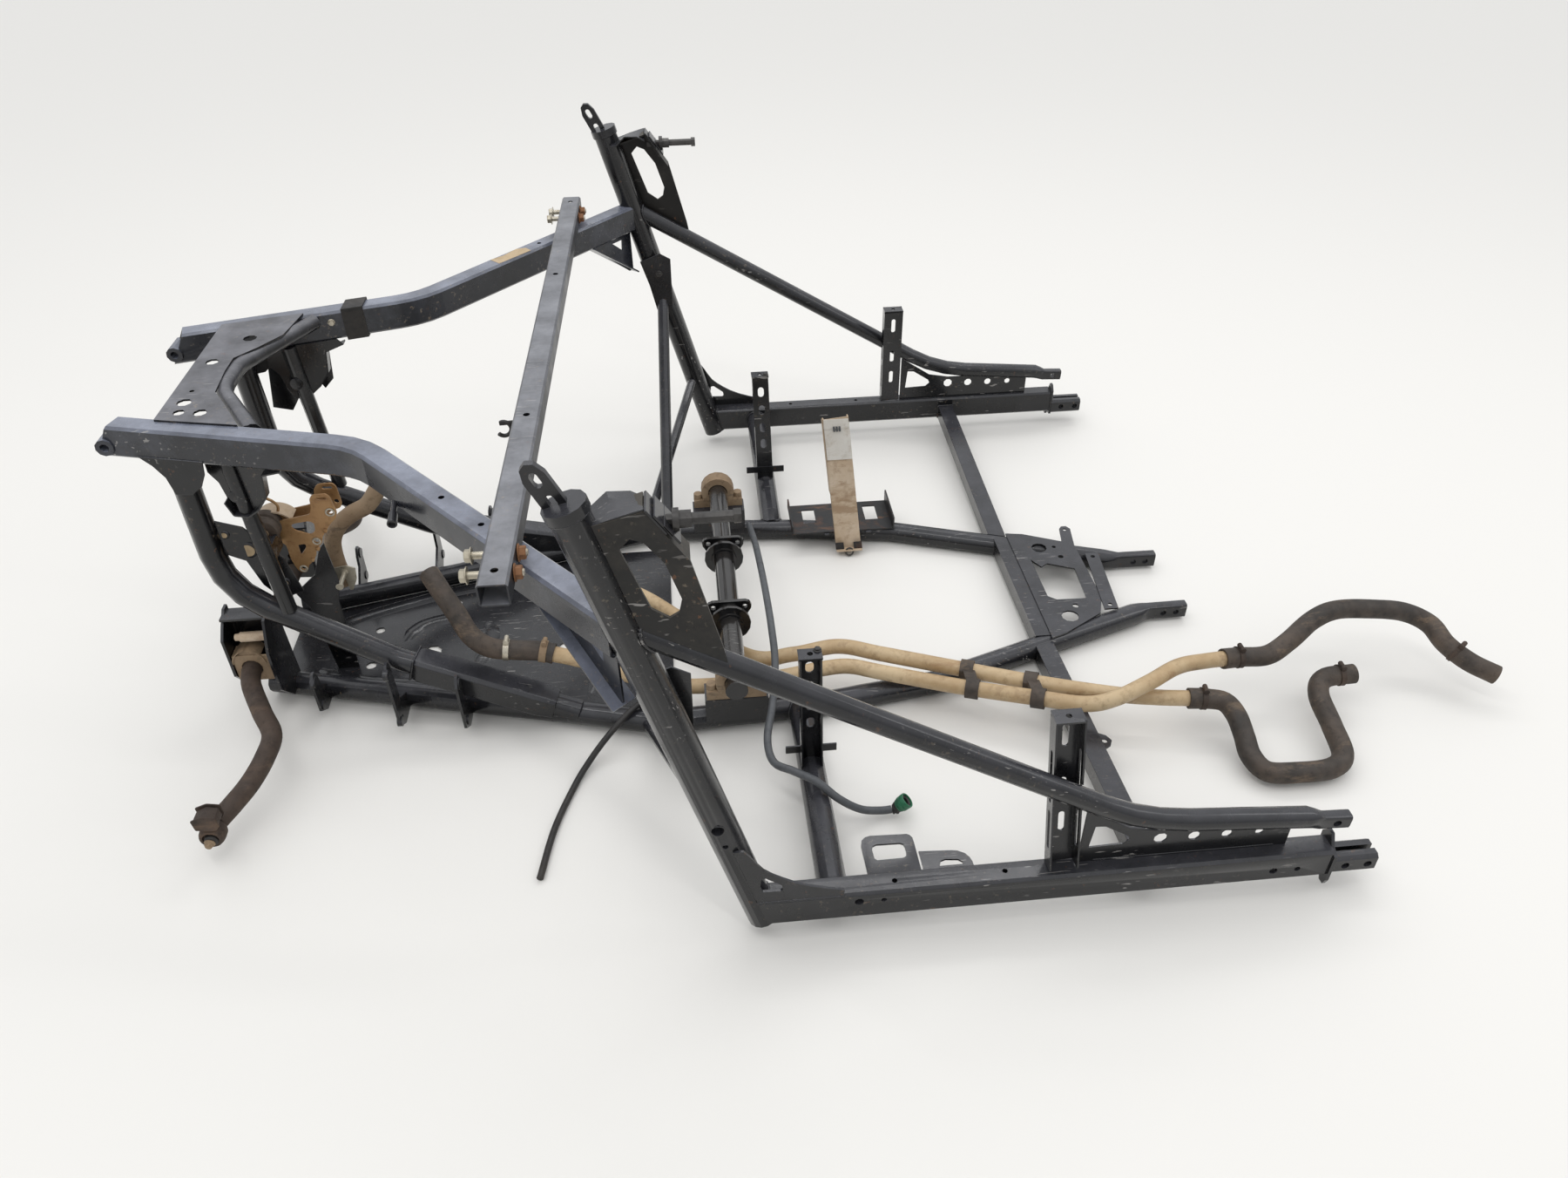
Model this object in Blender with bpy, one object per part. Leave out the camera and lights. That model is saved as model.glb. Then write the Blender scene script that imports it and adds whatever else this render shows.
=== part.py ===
"""Bare rear and cabin frame of a side-by-side off-road vehicle.

Axes: +X vehicle front, +Y vehicle left, +Z up, metres. The frame rests on its skid
plate and its lower rails at z = 0. Everything is laid out from the pillar line at
x = 0 and then shifted by CENTRE_X, so that the origin is under the frame's middle.
"""
import math

import bpy
import bmesh
from mathutils import Matrix, Vector
from mathutils.geometry import tessellate_polygon

for old in list(bpy.data.objects):
    bpy.data.objects.remove(old, do_unlink=True)

# ---------------------------------------------------------------- driving dimensions
CENTRE_X = 0.19792          # layout x of the point under the middle of the frame
GAP = 0.0003                # clearance between parts that touch
SIDE_Y = 0.690              # pillars, sills and side tubes stand this far from the middle
PILLAR_R = 0.0225
PILLAR_FOOT = (0.0125, 0.018)
PILLAR_TOP = (-0.1765, 0.711)
FOOT_CUT = 0.009            # the tube is cut off this far above the foot point of its line
SHOULDER_Y = 0.700
BELT_Y = 0.684
BELT_Z = 0.686
SIDE_TUBE_R = 0.0155
SIDE_BEND = (0.529, 0.155)
SIDE_FLAT = (0.765, 0.134)
SIDE_SLOPE = -0.605
SILL_Y = 0.696
SILL_W = 0.036
SILL_H = 0.050
SILL_Z = 0.057
COPE_START = 0.0067         # the sill and its corner plate start this far ahead of the pillar's line
SILL_END = 0.811
CROSS_X = 0.5565
FORK_Y = 0.692
FORK_Z = 0.045
RAIL_W = 0.036
RAIL_H = 0.0495
RAIL_TOP = 0.566
RAIL_WALL = 0.0025
LOWER_R = 0.020
LOWER_FRONT_Z = 0.0200
LOWER_REAR_Z = 0.0240
DOWN_R = 0.019
OUTRIGGER_R = 0.0215
OUTRIGGER_X = 0.108
BRACE_R = 0.012
POST_R = 0.0125
DIAG_R = 0.0100
PIPE_R = 0.0133
HOSE_R = 0.0175
HOSE_BORE = 0.0137
SHAFT_R = 0.0185
SHAFT_Z = 0.112
BAR_R = 0.0155
BAR_X = -0.800
BAR_Z = 0.102
CROSSBAR_W = 0.036
CROSSBAR_H = 0.030
FUEL_R = 0.0062
VENT_R = 0.0052

SIDES = (("right", -1.0), ("left", 1.0))


# ---------------------------------------------------------------- materials
def material(name, colour, roughness, metallic):
    mat = bpy.data.materials.new(name)
    mat.use_nodes = True
    bsdf = mat.node_tree.nodes["Principled BSDF"]
    bsdf.inputs["Base Color"].default_value = (*colour, 1.0)
    bsdf.inputs["Roughness"].default_value = roughness
    bsdf.inputs["Metallic"].default_value = metallic
    mat.diffuse_color = (*colour, 1.0)
    return mat


BLACK_COAT = ("black_coat", (0.035, 0.036, 0.040), 0.42, 0.0)
GREY_COAT = ("grey_coat", (0.075, 0.077, 0.085), 0.48, 0.0)
TAN_PIPE = ("tan_pipe", (0.50, 0.36, 0.20), 0.70, 0.0)
TAN_CAST = ("tan_cast", (0.42, 0.33, 0.23), 0.75, 0.3)
ZINC = ("zinc", (0.48, 0.31, 0.14), 0.45, 0.6)
RUST = ("rust", (0.17, 0.085, 0.045), 0.85, 0.2)
STEEL = ("steel", (0.40, 0.37, 0.33), 0.45, 0.8)
RUBBER = ("rubber", (0.055, 0.045, 0.036), 0.85, 0.0)
LINE = ("line", (0.10, 0.11, 0.12), 0.60, 0.0)
GREEN = ("green", (0.03, 0.22, 0.10), 0.50, 0.0)
SHAFT_BLACK = ("shaft_black", (0.02, 0.02, 0.022), 0.25, 0.2)


# ---------------------------------------------------------------- mesh helpers
def new_object(name, bm, paint=None, smooth=True):
    """Write a bmesh to an object. Without a paint it is a cutter or a tool."""
    bmesh.ops.recalc_face_normals(bm, faces=bm.faces)
    for vert in bm.verts:
        vert.co.x -= CENTRE_X
    mesh = bpy.data.meshes.new(name)
    bm.to_mesh(mesh)
    bm.free()
    ob = bpy.data.objects.new(name, mesh)
    bpy.context.scene.collection.objects.link(ob)
    if paint is None:
        ob.hide_render = True
        ob.display_type = 'WIRE'
        return ob
    mesh.materials.append(material(name + "_" + paint[0], *paint[1:]))
    if smooth:
        mesh.shade_smooth()
        mesh.set_sharp_from_angle(angle=math.radians(38.0))
    return ob


def boolean(target, tool, operation='DIFFERENCE'):
    mod = target.modifiers.new(operation.title() + " " + tool.name, 'BOOLEAN')
    mod.operation = operation
    mod.solver = 'EXACT'
    mod.object = tool
    return target


def circle(radius, count=16):
    step = 2.0 * math.pi / count
    return [(radius * math.cos(step * (i + 0.5)), radius * math.sin(step * (i + 0.5))) for i in range(count)]


def rectangle(width, height, corner=0.0):
    a = width / 2.0
    b = height / 2.0
    if corner == 0.0:
        return [(a, -b), (a, b), (-a, b), (-a, -b)]
    c = corner
    return [(a, c - b), (a, b - c), (a - c, b), (c - a, b), (-a, b - c), (-a, c - b), (c - a, -b), (a - c, -b)]


def channel(width, depth, wall):
    """A U section that opens towards +u."""
    a = width / 2.0
    d = depth / 2.0
    return [(-d, -a), (d, -a), (d, wall - a), (wall - d, wall - a),
            (wall - d, a - wall), (d, a - wall), (d, a), (-d, a)]


def squashed(radius, width, height, blend, count=12):
    """A tube section on its way from a circle to a rounded rectangle."""
    out = []
    for x, y in circle(radius, count):
        angle = math.atan2(y, x)
        p = 5.0
        cx = abs(math.cos(angle)) ** (2.0 / p) * math.copysign(width / 2.0, math.cos(angle))
        cy = abs(math.sin(angle)) ** (2.0 / p) * math.copysign(height / 2.0, math.sin(angle))
        out.append((x + (cx - x) * blend, y + (cy - y) * blend))
    return out


def rounded(points, radius, steps=4):
    """The path with each inner corner replaced by an arc of the given bend radius."""
    pts = [Vector(p) for p in points]
    out = [pts[0]]
    for before, corner, after in zip(pts, pts[1:], pts[2:]):
        a = (before - corner).normalized()
        b = (after - corner).normalized()
        half = a.angle(b) / 2.0
        reach = min(radius / math.tan(half), 0.48 * (before - corner).length, 0.48 * (after - corner).length)
        bend = reach * math.tan(half)
        centre = corner + (a + b).normalized() * math.hypot(bend, reach)
        start = corner + a * reach - centre
        end = corner + b * reach - centre
        sweep_angle = start.angle(end)
        for i in range(steps + 1):
            t = i / steps
            w0 = math.sin((1.0 - t) * sweep_angle) / math.sin(sweep_angle)
            w1 = math.sin(t * sweep_angle) / math.sin(sweep_angle)
            out.append(centre + start * w0 + end * w1)
    out.append(pts[-1])
    return out


def smooth_curve(points, spacing):
    """Points at an even spacing along a Catmull-Rom curve through the route's points."""
    pts = [Vector(p) for p in points]
    pts = [pts[0] * 2.0 - pts[1]] + pts + [pts[-1] * 2.0 - pts[-2]]
    dense = []
    for i in range(1, len(pts) - 2):
        for k in range(20):
            t = k / 20.0
            p0, p1, p2, p3 = pts[i - 1], pts[i], pts[i + 1], pts[i + 2]
            dense.append(0.5 * (2.0 * p1 + (p2 - p0) * t + (2.0 * p0 - 5.0 * p1 + 4.0 * p2 - p3) * t * t
                                + (3.0 * p1 - p0 - 3.0 * p2 + p3) * t * t * t))
    dense.append(pts[-2])
    total = sum((b - a).length for a, b in zip(dense, dense[1:]))
    count = max(2, round(total / spacing))
    out = [dense[0]]
    walked = 0.0
    goal = total / count
    for a, b in zip(dense, dense[1:]):
        step = (b - a).length
        while walked + step >= goal * len(out) and len(out) < count:
            out.append(a.lerp(b, (goal * len(out) - walked) / step))
        walked += step
    out.append(dense[-1])
    return out


def sweep(bm, path, section, bore=None, up=(0.0, 0.0, 1.0), start_shear=0.0, end_shear=0.0):
    """Sweep a closed section along a path with mitred joints.

    section is one list of (side, up) points, or one such list for each path point.
    bore is the same for the inner wall, and leaves both ends of the tube open.
    A shear slants the end: metres of run for each metre of height.
    """
    pts = [Vector(p) for p in path]
    dirs = [(b - a).normalized() for a, b in zip(pts, pts[1:])]
    side = dirs[0].cross(Vector(up)).normalized()
    top = side.cross(dirs[0]).normalized()
    per_point = isinstance(section[0][0], (list, tuple))
    rings = []
    inner = []
    for i, point in enumerate(pts):
        incoming = dirs[max(i - 1, 0)]
        outgoing = dirs[min(i, len(dirs) - 1)]
        normal = (incoming + outgoing).normalized()
        shape = section[i] if per_point else section
        shear = start_shear if i == 0 else (end_shear if i == len(pts) - 1 else 0.0)

        def place(u, v):
            off = side * u + top * v
            off -= incoming * (off.dot(normal) / incoming.dot(normal))
            return bm.verts.new(point + off + incoming * shear * v)

        rings.append([place(u, v) for u, v in shape])
        if bore is not None:
            inner.append([place(u, v) for u, v in bore])
        turn = incoming.rotation_difference(outgoing)
        side = turn @ side
        top = turn @ top

    def skin(loops, flip):
        for a, b in zip(loops, loops[1:]):
            for k in range(len(a)):
                m = (k + 1) % len(a)
                quad = (a[k], a[m], b[m], b[k])
                bm.faces.new(quad[::-1] if flip else quad)

    skin(rings, False)
    if bore is None:
        for ring in (rings[0], rings[-1]):
            flat = [v.co for v in ring]
            for tri in tessellate_polygon([flat]):
                bm.faces.new([ring[k] for k in tri])
        return
    skin(inner, True)
    for outer_ring, inner_ring in ((rings[0], inner[0]), (rings[-1], inner[-1])):
        count = len(outer_ring)
        for k in range(count):
            m = (k + 1) % count
            bm.faces.new((outer_ring[k], outer_ring[m], inner_ring[m], inner_ring[k]))


def extended(path, by=0.004):
    """The path run on a little beyond both ends, for cutters."""
    pts = [Vector(p) for p in path]
    head = pts[0] + (pts[0] - pts[1]).normalized() * by
    tail = pts[-1] + (pts[-1] - pts[-2]).normalized() * by
    return [head] + pts[1:-1] + [tail]


def tube(name, path, radius, paint, count=16, bore=None):
    bm = bmesh.new()
    sweep(bm, path, circle(radius, count), circle(bore, count) if bore else None)
    return new_object(name, bm, paint)


def slab(bm, loops, thickness, place):
    """A flat plate: loops[0] is the outline, the others are holes, in (u, v)."""
    flat = [[Vector((u, v, 0.0)) for u, v in loop] for loop in loops]
    triangles = tessellate_polygon(flat)
    low = [bm.verts.new(place(p.x, p.y, -thickness / 2.0)) for loop in flat for p in loop]
    high = [bm.verts.new(place(p.x, p.y, thickness / 2.0)) for loop in flat for p in loop]
    for tri in triangles:
        bm.faces.new([low[k] for k in reversed(tri)])
        bm.faces.new([high[k] for k in tri])
    start = 0
    for loop in flat:
        count = len(loop)
        for k in range(count):
            a = start + k
            b = start + (k + 1) % count
            bm.faces.new((low[a], low[b], high[b], high[a]))
        start += count


def hole(u, v, radius, count=8):
    return [(u + x, v + y) for x, y in circle(radius, count)]


def slot(u0, v0, u1, v1, radius, count=8):
    """A round-ended slot between two centres."""
    angle = math.atan2(v1 - v0, u1 - u0)
    out = []
    for cu, cv, base in ((u1, v1, angle - math.pi / 2.0), (u0, v0, angle + math.pi / 2.0)):
        for i in range(count // 2 + 1):
            a = base + math.pi * i / (count // 2)
            out.append((cu + radius * math.cos(a), cv + radius * math.sin(a)))
    return out


def on_side(side, y):
    """Plate placement in the vertical plane at distance y from the middle: (x, z, w)."""
    return lambda u, v, w: Vector((u, side * (y + w), v))


def on_level(z):
    return lambda u, v, w: Vector((u, v, z + w))


def across(x):
    """Plate placement in the vertical plane across the vehicle: (y, z, w)."""
    return lambda u, v, w: Vector((x + w, u, v))


def block(bm, low, high):
    (x0, y0, z0), (x1, y1, z1) = low, high
    sweep(bm, [((x0 + x1) / 2.0, (y0 + y1) / 2.0, z0), ((x0 + x1) / 2.0, (y0 + y1) / 2.0, z1)],
          rectangle(abs(y1 - y0), abs(x1 - x0)), up=(1.0, 0.0, 0.0))


def rod(bm, start, end, radius, count=12):
    sweep(bm, [start, end], circle(radius, count), up=(0.13, 0.21, 0.97))


def helper(name, build, *args, **kwargs):
    bm = bmesh.new()
    build(bm, *args, **kwargs)
    return new_object(name, bm)


def mirrored(side, path):
    return [(x, side * y, z) for x, y, z in path]


def rods(bm, items):
    for start, end, radius, count in items:
        rod(bm, start, end, radius, count)


def y_holes(side, y_out, depth, spots):
    """Drill spots (x, z, radius) from the outer face at y_out, inwards by depth."""
    return [((x, side * (y_out + 0.005), z), (x, side * (y_out - depth), z), r, 8) for x, z, r in spots]


# ---------------------------------------------------------------- shared lines
def pillar_x(z):
    (x0, z0), (x1, z1) = PILLAR_FOOT, PILLAR_TOP
    return x0 + (x1 - x0) * (z - z0) / (z1 - z0)


PILLAR_LEAN = math.atan2(PILLAR_FOOT[0] - PILLAR_TOP[0], PILLAR_TOP[1] - PILLAR_FOOT[1])
PILLAR_DIR = Vector((-math.sin(PILLAR_LEAN), 0.0, math.cos(PILLAR_LEAN)))


def side_z(x):
    """Height of the side tube's centre line."""
    (xb, zb), (xf, zf) = SIDE_BEND, SIDE_FLAT
    if x < xb:
        return zb + SIDE_SLOPE * (x - xb)
    return zb + (zf - zb) * (x - xb) / (xf - xb)


def side_offset(x):
    slope = SIDE_SLOPE if x < SIDE_BEND[0] else 0.09
    return (SIDE_TUBE_R + GAP + 0.0002) * math.hypot(1.0, slope)


def lower_path(side):
    corners = [(-0.800, 0.106, LOWER_REAR_Z), (-0.255, 0.250, LOWER_REAR_Z), (-0.130, 0.286, LOWER_REAR_Z),
               (0.140, 0.267, LOWER_FRONT_Z), (0.350, 0.234, LOWER_FRONT_Z), (0.752, 0.089, LOWER_FRONT_Z)]
    return mirrored(side, corners)


def lower_y(x):
    pts = lower_path(1.0)
    for (xa, ya, _), (xb, yb, _) in zip(pts, pts[1:]):
        if xa <= x <= xb:
            return ya + (yb - ya) * (x - xa) / (xb - xa)
    return pts[-1][1]


LOWER_CENTRE = {side: rounded(lower_path(side), 0.16, 2) for _, side in SIDES}
PILLAR_LINE = {side: [(PILLAR_FOOT[0], side * SIDE_Y, PILLAR_FOOT[1]), (PILLAR_TOP[0], side * SIDE_Y, PILLAR_TOP[1])]
               for _, side in SIDES}


def down_path(side):
    corners = [(-0.793, 0.1640, RAIL_TOP - RAIL_H + 0.012), (-0.790, 0.1730, 0.272), (-0.548, 0.2000, 0.128),
               (-0.262, 0.2500, 0.030)]
    return rounded(mirrored(side, corners), 0.12, 3)


def pillar_cutter(name, side):
    return helper(name, sweep, PILLAR_LINE[side], circle(PILLAR_R + GAP, 16))


def lower_cutter(name, side):
    return helper(name, sweep, LOWER_CENTRE[side], circle(LOWER_R + 2.0 * GAP, 12))


def under_rail_cutter(name, x, side):
    """Trims a tube flush under the upper rail."""
    bottom = RAIL_TOP - RAIL_H - GAP
    return helper(name, block, (x - 0.05, side * 0.17 - 0.06, bottom), (x + 0.05, side * 0.17 + 0.06, bottom + 0.05))


# ---------------------------------------------------------------- sides of the frame
def build_pillar(word, side):
    """Leaning main pillar with a capped top and a slotted strap for the roof cage."""
    foot, top = PILLAR_LINE[side]
    ob = tube("pillar_" + word, [Vector(foot) + PILLAR_DIR * FOOT_CUT, top], PILLAR_R, BLACK_COAT, 16)
    top = Vector(top)
    def head(bm):
        rod(bm, top - PILLAR_DIR * 0.006, top + PILLAR_DIR * 0.007, 0.0252, 12)

    lean = Vector((-0.44, 0.0, 0.90)).normalized()
    wide = Vector((0.90, 0.0, 0.44)).normalized()

    def strap(bm):
        def place(u, v, w):
            return top + wide * (u - 0.0075) + lean * (v - 0.006) + Vector((0.0, side * (w - 0.004), 0.0))
        outline = [(-0.013, -0.004), (0.013, -0.004), (0.013, 0.052), (0.008, 0.066), (0.0, 0.070),
                   (-0.008, 0.066), (-0.013, 0.052)]
        slab(bm, [outline, slot(0.0, 0.016, 0.0, 0.024, 0.0045), slot(0.0, 0.044, 0.0, 0.054, 0.0045)], 0.009, place)

    boolean(ob, helper("pillar_cap_" + word, head), 'UNION')
    boolean(ob, helper("pillar_strap_" + word, strap), 'UNION')
    spots = y_holes(side, SIDE_Y + PILLAR_R, 0.012,
                    [(pillar_x(0.230), 0.230, 0.0085), (pillar_x(0.199), 0.199, 0.004)])
    boolean(ob, helper("pillar_drill_" + word, rods, spots))
    return ob


def build_side_tube(word, side):
    """Side tube from the pillar down to the front, with a flattened and drilled end."""
    bend = rounded([(-0.1348, SIDE_Y, side_z(-0.1348)), (SIDE_BEND[0], SIDE_Y, SIDE_BEND[1]),
                    (SIDE_FLAT[0], SIDE_Y, SIDE_FLAT[1])], 0.30, 3)
    tail = [(0.777, SIDE_Y, 0.1300), (0.788, SIDE_Y, 0.1255), (0.829, SIDE_Y, 0.1235)]
    path = mirrored(side, [tuple(p) for p in bend] + tail)
    sections = [circle(SIDE_TUBE_R, 12)] * len(bend)
    sections += [squashed(SIDE_TUBE_R, 0.018, 0.0235, blend) for blend in (0.55, 1.0, 1.0)]
    bm = bmesh.new()
    sweep(bm, path, sections)
    ob = new_object("side_tube_" + word, bm, BLACK_COAT)
    boolean(ob, pillar_cutter("side_tube_cope_" + word, side))
    drill = [((0.809, side * (SIDE_Y - 0.03), 0.1245), (0.809, side * (SIDE_Y + 0.03), 0.1245), 0.0058, 10)]
    return boolean(ob, helper("side_tube_drill_" + word, rods, drill))


def build_shoulder_plate(word, side):
    """Windowed plate between pillar and side tube with folded flanges for the belt anchor."""
    outline = [(pillar_x(0.693) + 0.010, 0.693), (pillar_x(0.555) + 0.010, 0.555), (-0.113, side_z(-0.113) + 0.010),
               (-0.020, side_z(-0.020) + 0.010), (-0.024, 0.520), (-0.054, 0.643), (-0.098, 0.7090)]
    window = [(-0.127, 0.664), (-0.115, 0.677), (-0.101, 0.671), (-0.081, 0.643), (-0.066, 0.594), (-0.070, 0.577),
              (-0.081, 0.570), (-0.100, 0.584)]
    bm = bmesh.new()
    slab(bm, [outline, window], 0.004, on_side(side, SHOULDER_Y))
    ob = new_object("shoulder_plate_" + word, bm, BLACK_COAT, smooth=False)

    def top_flange(bm):
        y = side * (SHOULDER_Y - 0.018)
        sweep(bm, [(-0.146, y, 0.6925), (-0.0985, y, 0.7075)], rectangle(0.040, 0.003))

    def front_flange(bm):
        y = side * (SHOULDER_Y - 0.015)
        sweep(bm, [(-0.0985, y, 0.7070), (-0.0555, y, 0.6430)], rectangle(0.034, 0.0034))

    boolean(ob, helper("shoulder_top_" + word, top_flange), 'UNION')
    boolean(ob, helper("shoulder_front_" + word, front_flange), 'UNION')
    y = side * BELT_Y
    boolean(ob, helper("shoulder_drill_" + word, rods, [((-0.11, y, BELT_Z), (-0.05, y, BELT_Z), 0.0075, 10)]))
    x0, x1 = -0.16, 0.02
    line = [(x, side * SIDE_Y, side_z(x)) for x in (x0, x1)]
    boolean(ob, helper("shoulder_tube_cope_" + word, sweep, line, circle(SIDE_TUBE_R + 3.0 * GAP, 12)))
    return boolean(ob, pillar_cutter("shoulder_cope_" + word, side))


def build_belt_bolt(word, side):
    """Belt anchor: a wide washer, a spacer and a long bolt that points forward."""
    y = side * BELT_Y
    z = BELT_Z
    stack = [(-0.0700, -0.0630, 0.0130, 10), (-0.0650, -0.0500, 0.0095, 8), (-0.0940, -0.0020, 0.0064, 8),
             (-0.0060, 0.0020, 0.0085, 6)]
    first = stack[0]
    bm = bmesh.new()
    rod(bm, (first[0], y, z), (first[1], y, z), first[2], first[3])
    ob = new_object("belt_bolt_" + word, bm, STEEL)
    for i, (x0, x1, r, count) in enumerate(stack[1:]):
        boolean(ob, helper("belt_bolt_%s_%d" % (word, i), rod, (x0, y, z), (x1, y, z), r, count), 'UNION')
    return ob


def build_sill(word, side):
    """Outer sill rail, its corner gusset, the end flange and the forked front joint."""
    run = (PILLAR_FOOT[0] - PILLAR_TOP[0]) / (PILLAR_TOP[1] - PILLAR_FOOT[1])
    bm = bmesh.new()
    path = [(pillar_x(SILL_Z) + COPE_START, side * SILL_Y, SILL_Z), (SILL_END, side * SILL_Y, SILL_Z)]
    sweep(bm, path, rectangle(SILL_W, SILL_H, 0.004), start_shear=-run)
    ob = new_object("sill_" + word, bm, BLACK_COAT)
    top = SILL_Z + SILL_H / 2.0

    def gusset(bm):
        edge = [(0.1190, top - 0.0020), (0.1190, 0.0935), (0.0951, 0.1000), (0.0707, 0.1085), (0.0514, 0.1176),
                (0.0370, 0.1268), (0.0228, 0.1370), (0.0111, 0.1480), (0.0019, 0.1622), (-0.0060, 0.1760),
                (pillar_x(0.188) + COPE_START + 0.0130, 0.188), (pillar_x(0.188) + COPE_START, 0.188)]
        outline = [(pillar_x(top) + COPE_START, top - 0.0020)] + edge
        window = [(0.0090, 0.1040), (0.0330, 0.1030), (0.0358, 0.1060), (0.0345, 0.1150), (0.0249, 0.1225),
                  (0.0135, 0.1315), (0.0075, 0.1300), (0.0055, 0.1120)]
        slab(bm, [outline, window], 0.0040, on_side(side, SILL_Y + SILL_W / 2.0 - 0.0022))

    def flange(bm):
        outline = [(0.676, 0.0270), (0.699, 0.0262), (0.704, 0.014), (0.713, 0.014), (0.717, 0.0250), (0.717, 0.074),
                   (0.704, 0.081), (0.694, 0.099), (0.685, 0.099), (0.675, 0.086)]
        outline = [(side * y, z) for y, z in outline]
        if side < 0:
            outline.reverse()
        slab(bm, [outline], 0.005, across(SILL_END + 0.0015))

    def fork(bm):
        sweep(bm, [(SILL_END + 0.002, side * FORK_Y, FORK_Z), (0.884, side * FORK_Y, FORK_Z)],
              rectangle(0.036, 0.032, 0.005))

    def fork_cuts(bm):
        block(bm, (0.822, side * FORK_Y - 0.0035, FORK_Z - 0.010), (0.895, side * FORK_Y + 0.0035, FORK_Z + 0.030))

    def brackets(bm):
        for outline, window in (
                ([(0.1565, 0.6893), (0.2315, 0.6893), (0.2303, 0.6310), (0.2296, 0.6225), (0.2265, 0.6172),
                  (0.2223, 0.6150), (0.1700, 0.6130), (0.1625, 0.6150), (0.1568, 0.6205), (0.1545, 0.6300)],
                 [(0.1735, 0.6575), (0.2106, 0.6571), (0.2146, 0.6545), (0.2160, 0.6490), (0.2158, 0.6380),
                  (0.2142, 0.6327), (0.2100, 0.6304), (0.1760, 0.6297), (0.1710, 0.6322), (0.1690, 0.6383),
                  (0.1700, 0.6540)]),
                ([(0.2345, 0.6891), (0.3054, 0.6891), (0.3050, 0.6740), (0.3025, 0.6655), (0.2975, 0.6580),
                  (0.2880, 0.6525), (0.2800, 0.6510), (0.2335, 0.6480)],
                 [(0.2580, 0.6765), (0.2915, 0.6765), (0.2905, 0.6715), (0.2855, 0.6675), (0.2680, 0.6655),
                  (0.2610, 0.6680)])):
            slab(bm, [[(x, side * y) for x, y in outline], [(x, side * y) for x, y in window]], 0.0031,
                 on_level(top - 0.0031))

    boolean(ob, helper("sill_gusset_" + word, gusset), 'UNION')
    boolean(ob, helper("sill_flange_" + word, flange), 'UNION')
    boolean(ob, helper("sill_fork_" + word, fork), 'UNION')
    boolean(ob, helper("sill_fork_cuts_" + word, fork_cuts))
    if side < 0:
        boolean(ob, helper("sill_brackets_" + word, brackets), 'UNION')
    spots = y_holes(side, SILL_Y + SILL_W / 2.0, 0.010, [(0.140, 0.066, 0.0065), (0.174, 0.066, 0.0040),
                                                         (0.728, 0.053, 0.0060), (0.763, 0.053, 0.0045)])
    spots += [((x, side * SILL_Y, top - 0.010), (x, side * SILL_Y, top + 0.010), 0.0040, 8) for x in (0.191, 0.345)]
    spots += [((x, side * (FORK_Y - 0.03), FORK_Z), (x, side * (FORK_Y + 0.03), FORK_Z), 0.0060, 10)
              for x in (0.838, 0.871)]
    boolean(ob, helper("sill_drill_" + word, rods, spots))
    return boolean(ob, pillar_cutter("sill_cope_" + word, side))


def build_front_gusset(word, side):
    """Web between sill and side tube: a triangular window and four shrinking holes."""
    bottom = SILL_Z + SILL_H / 2.0 + GAP
    xs = (0.748, 0.600, 0.560, 0.515, 0.448)
    outline = [(0.448, bottom), (0.748, bottom)]
    for x in xs:
        outline.append((x, side_z(x) - side_offset(x) - (0.0035 if 0.50 < x < 0.58 else 0.0)))
    window = [(0.460, 0.110), (0.508, 0.112), (0.517, 0.120), (0.513, 0.128), (0.478, 0.151), (0.464, 0.152)]
    holes = [hole(0.561, 0.117, 0.0100), hole(0.609, 0.116, 0.0088), hole(0.656, 0.115, 0.0078),
             hole(0.703, 0.114, 0.0064)]
    bm = bmesh.new()
    slab(bm, [outline, window] + holes, 0.003, on_side(side, SIDE_Y))
    return new_object("front_gusset_" + word, bm, BLACK_COAT, smooth=False)


def bracket_cuts(bm, path, spots, wide, across_dir):
    """Round-ended slots through a bracket wall: spots are (fraction, length)."""
    low, high = Vector(path[0]), Vector(path[1])
    along = (high - low).normalized()
    for fraction, length in spots:
        centre = low.lerp(high, fraction)
        width_dir = along.cross(across_dir).normalized()

        def place(u, v, w, c=centre, wd=width_dir):
            return c + wd * u + along * v + across_dir * w
        slab(bm, [slot(0.0, -length / 2.0, 0.0, length / 2.0, wide, 10)], 0.060, place)


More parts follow.
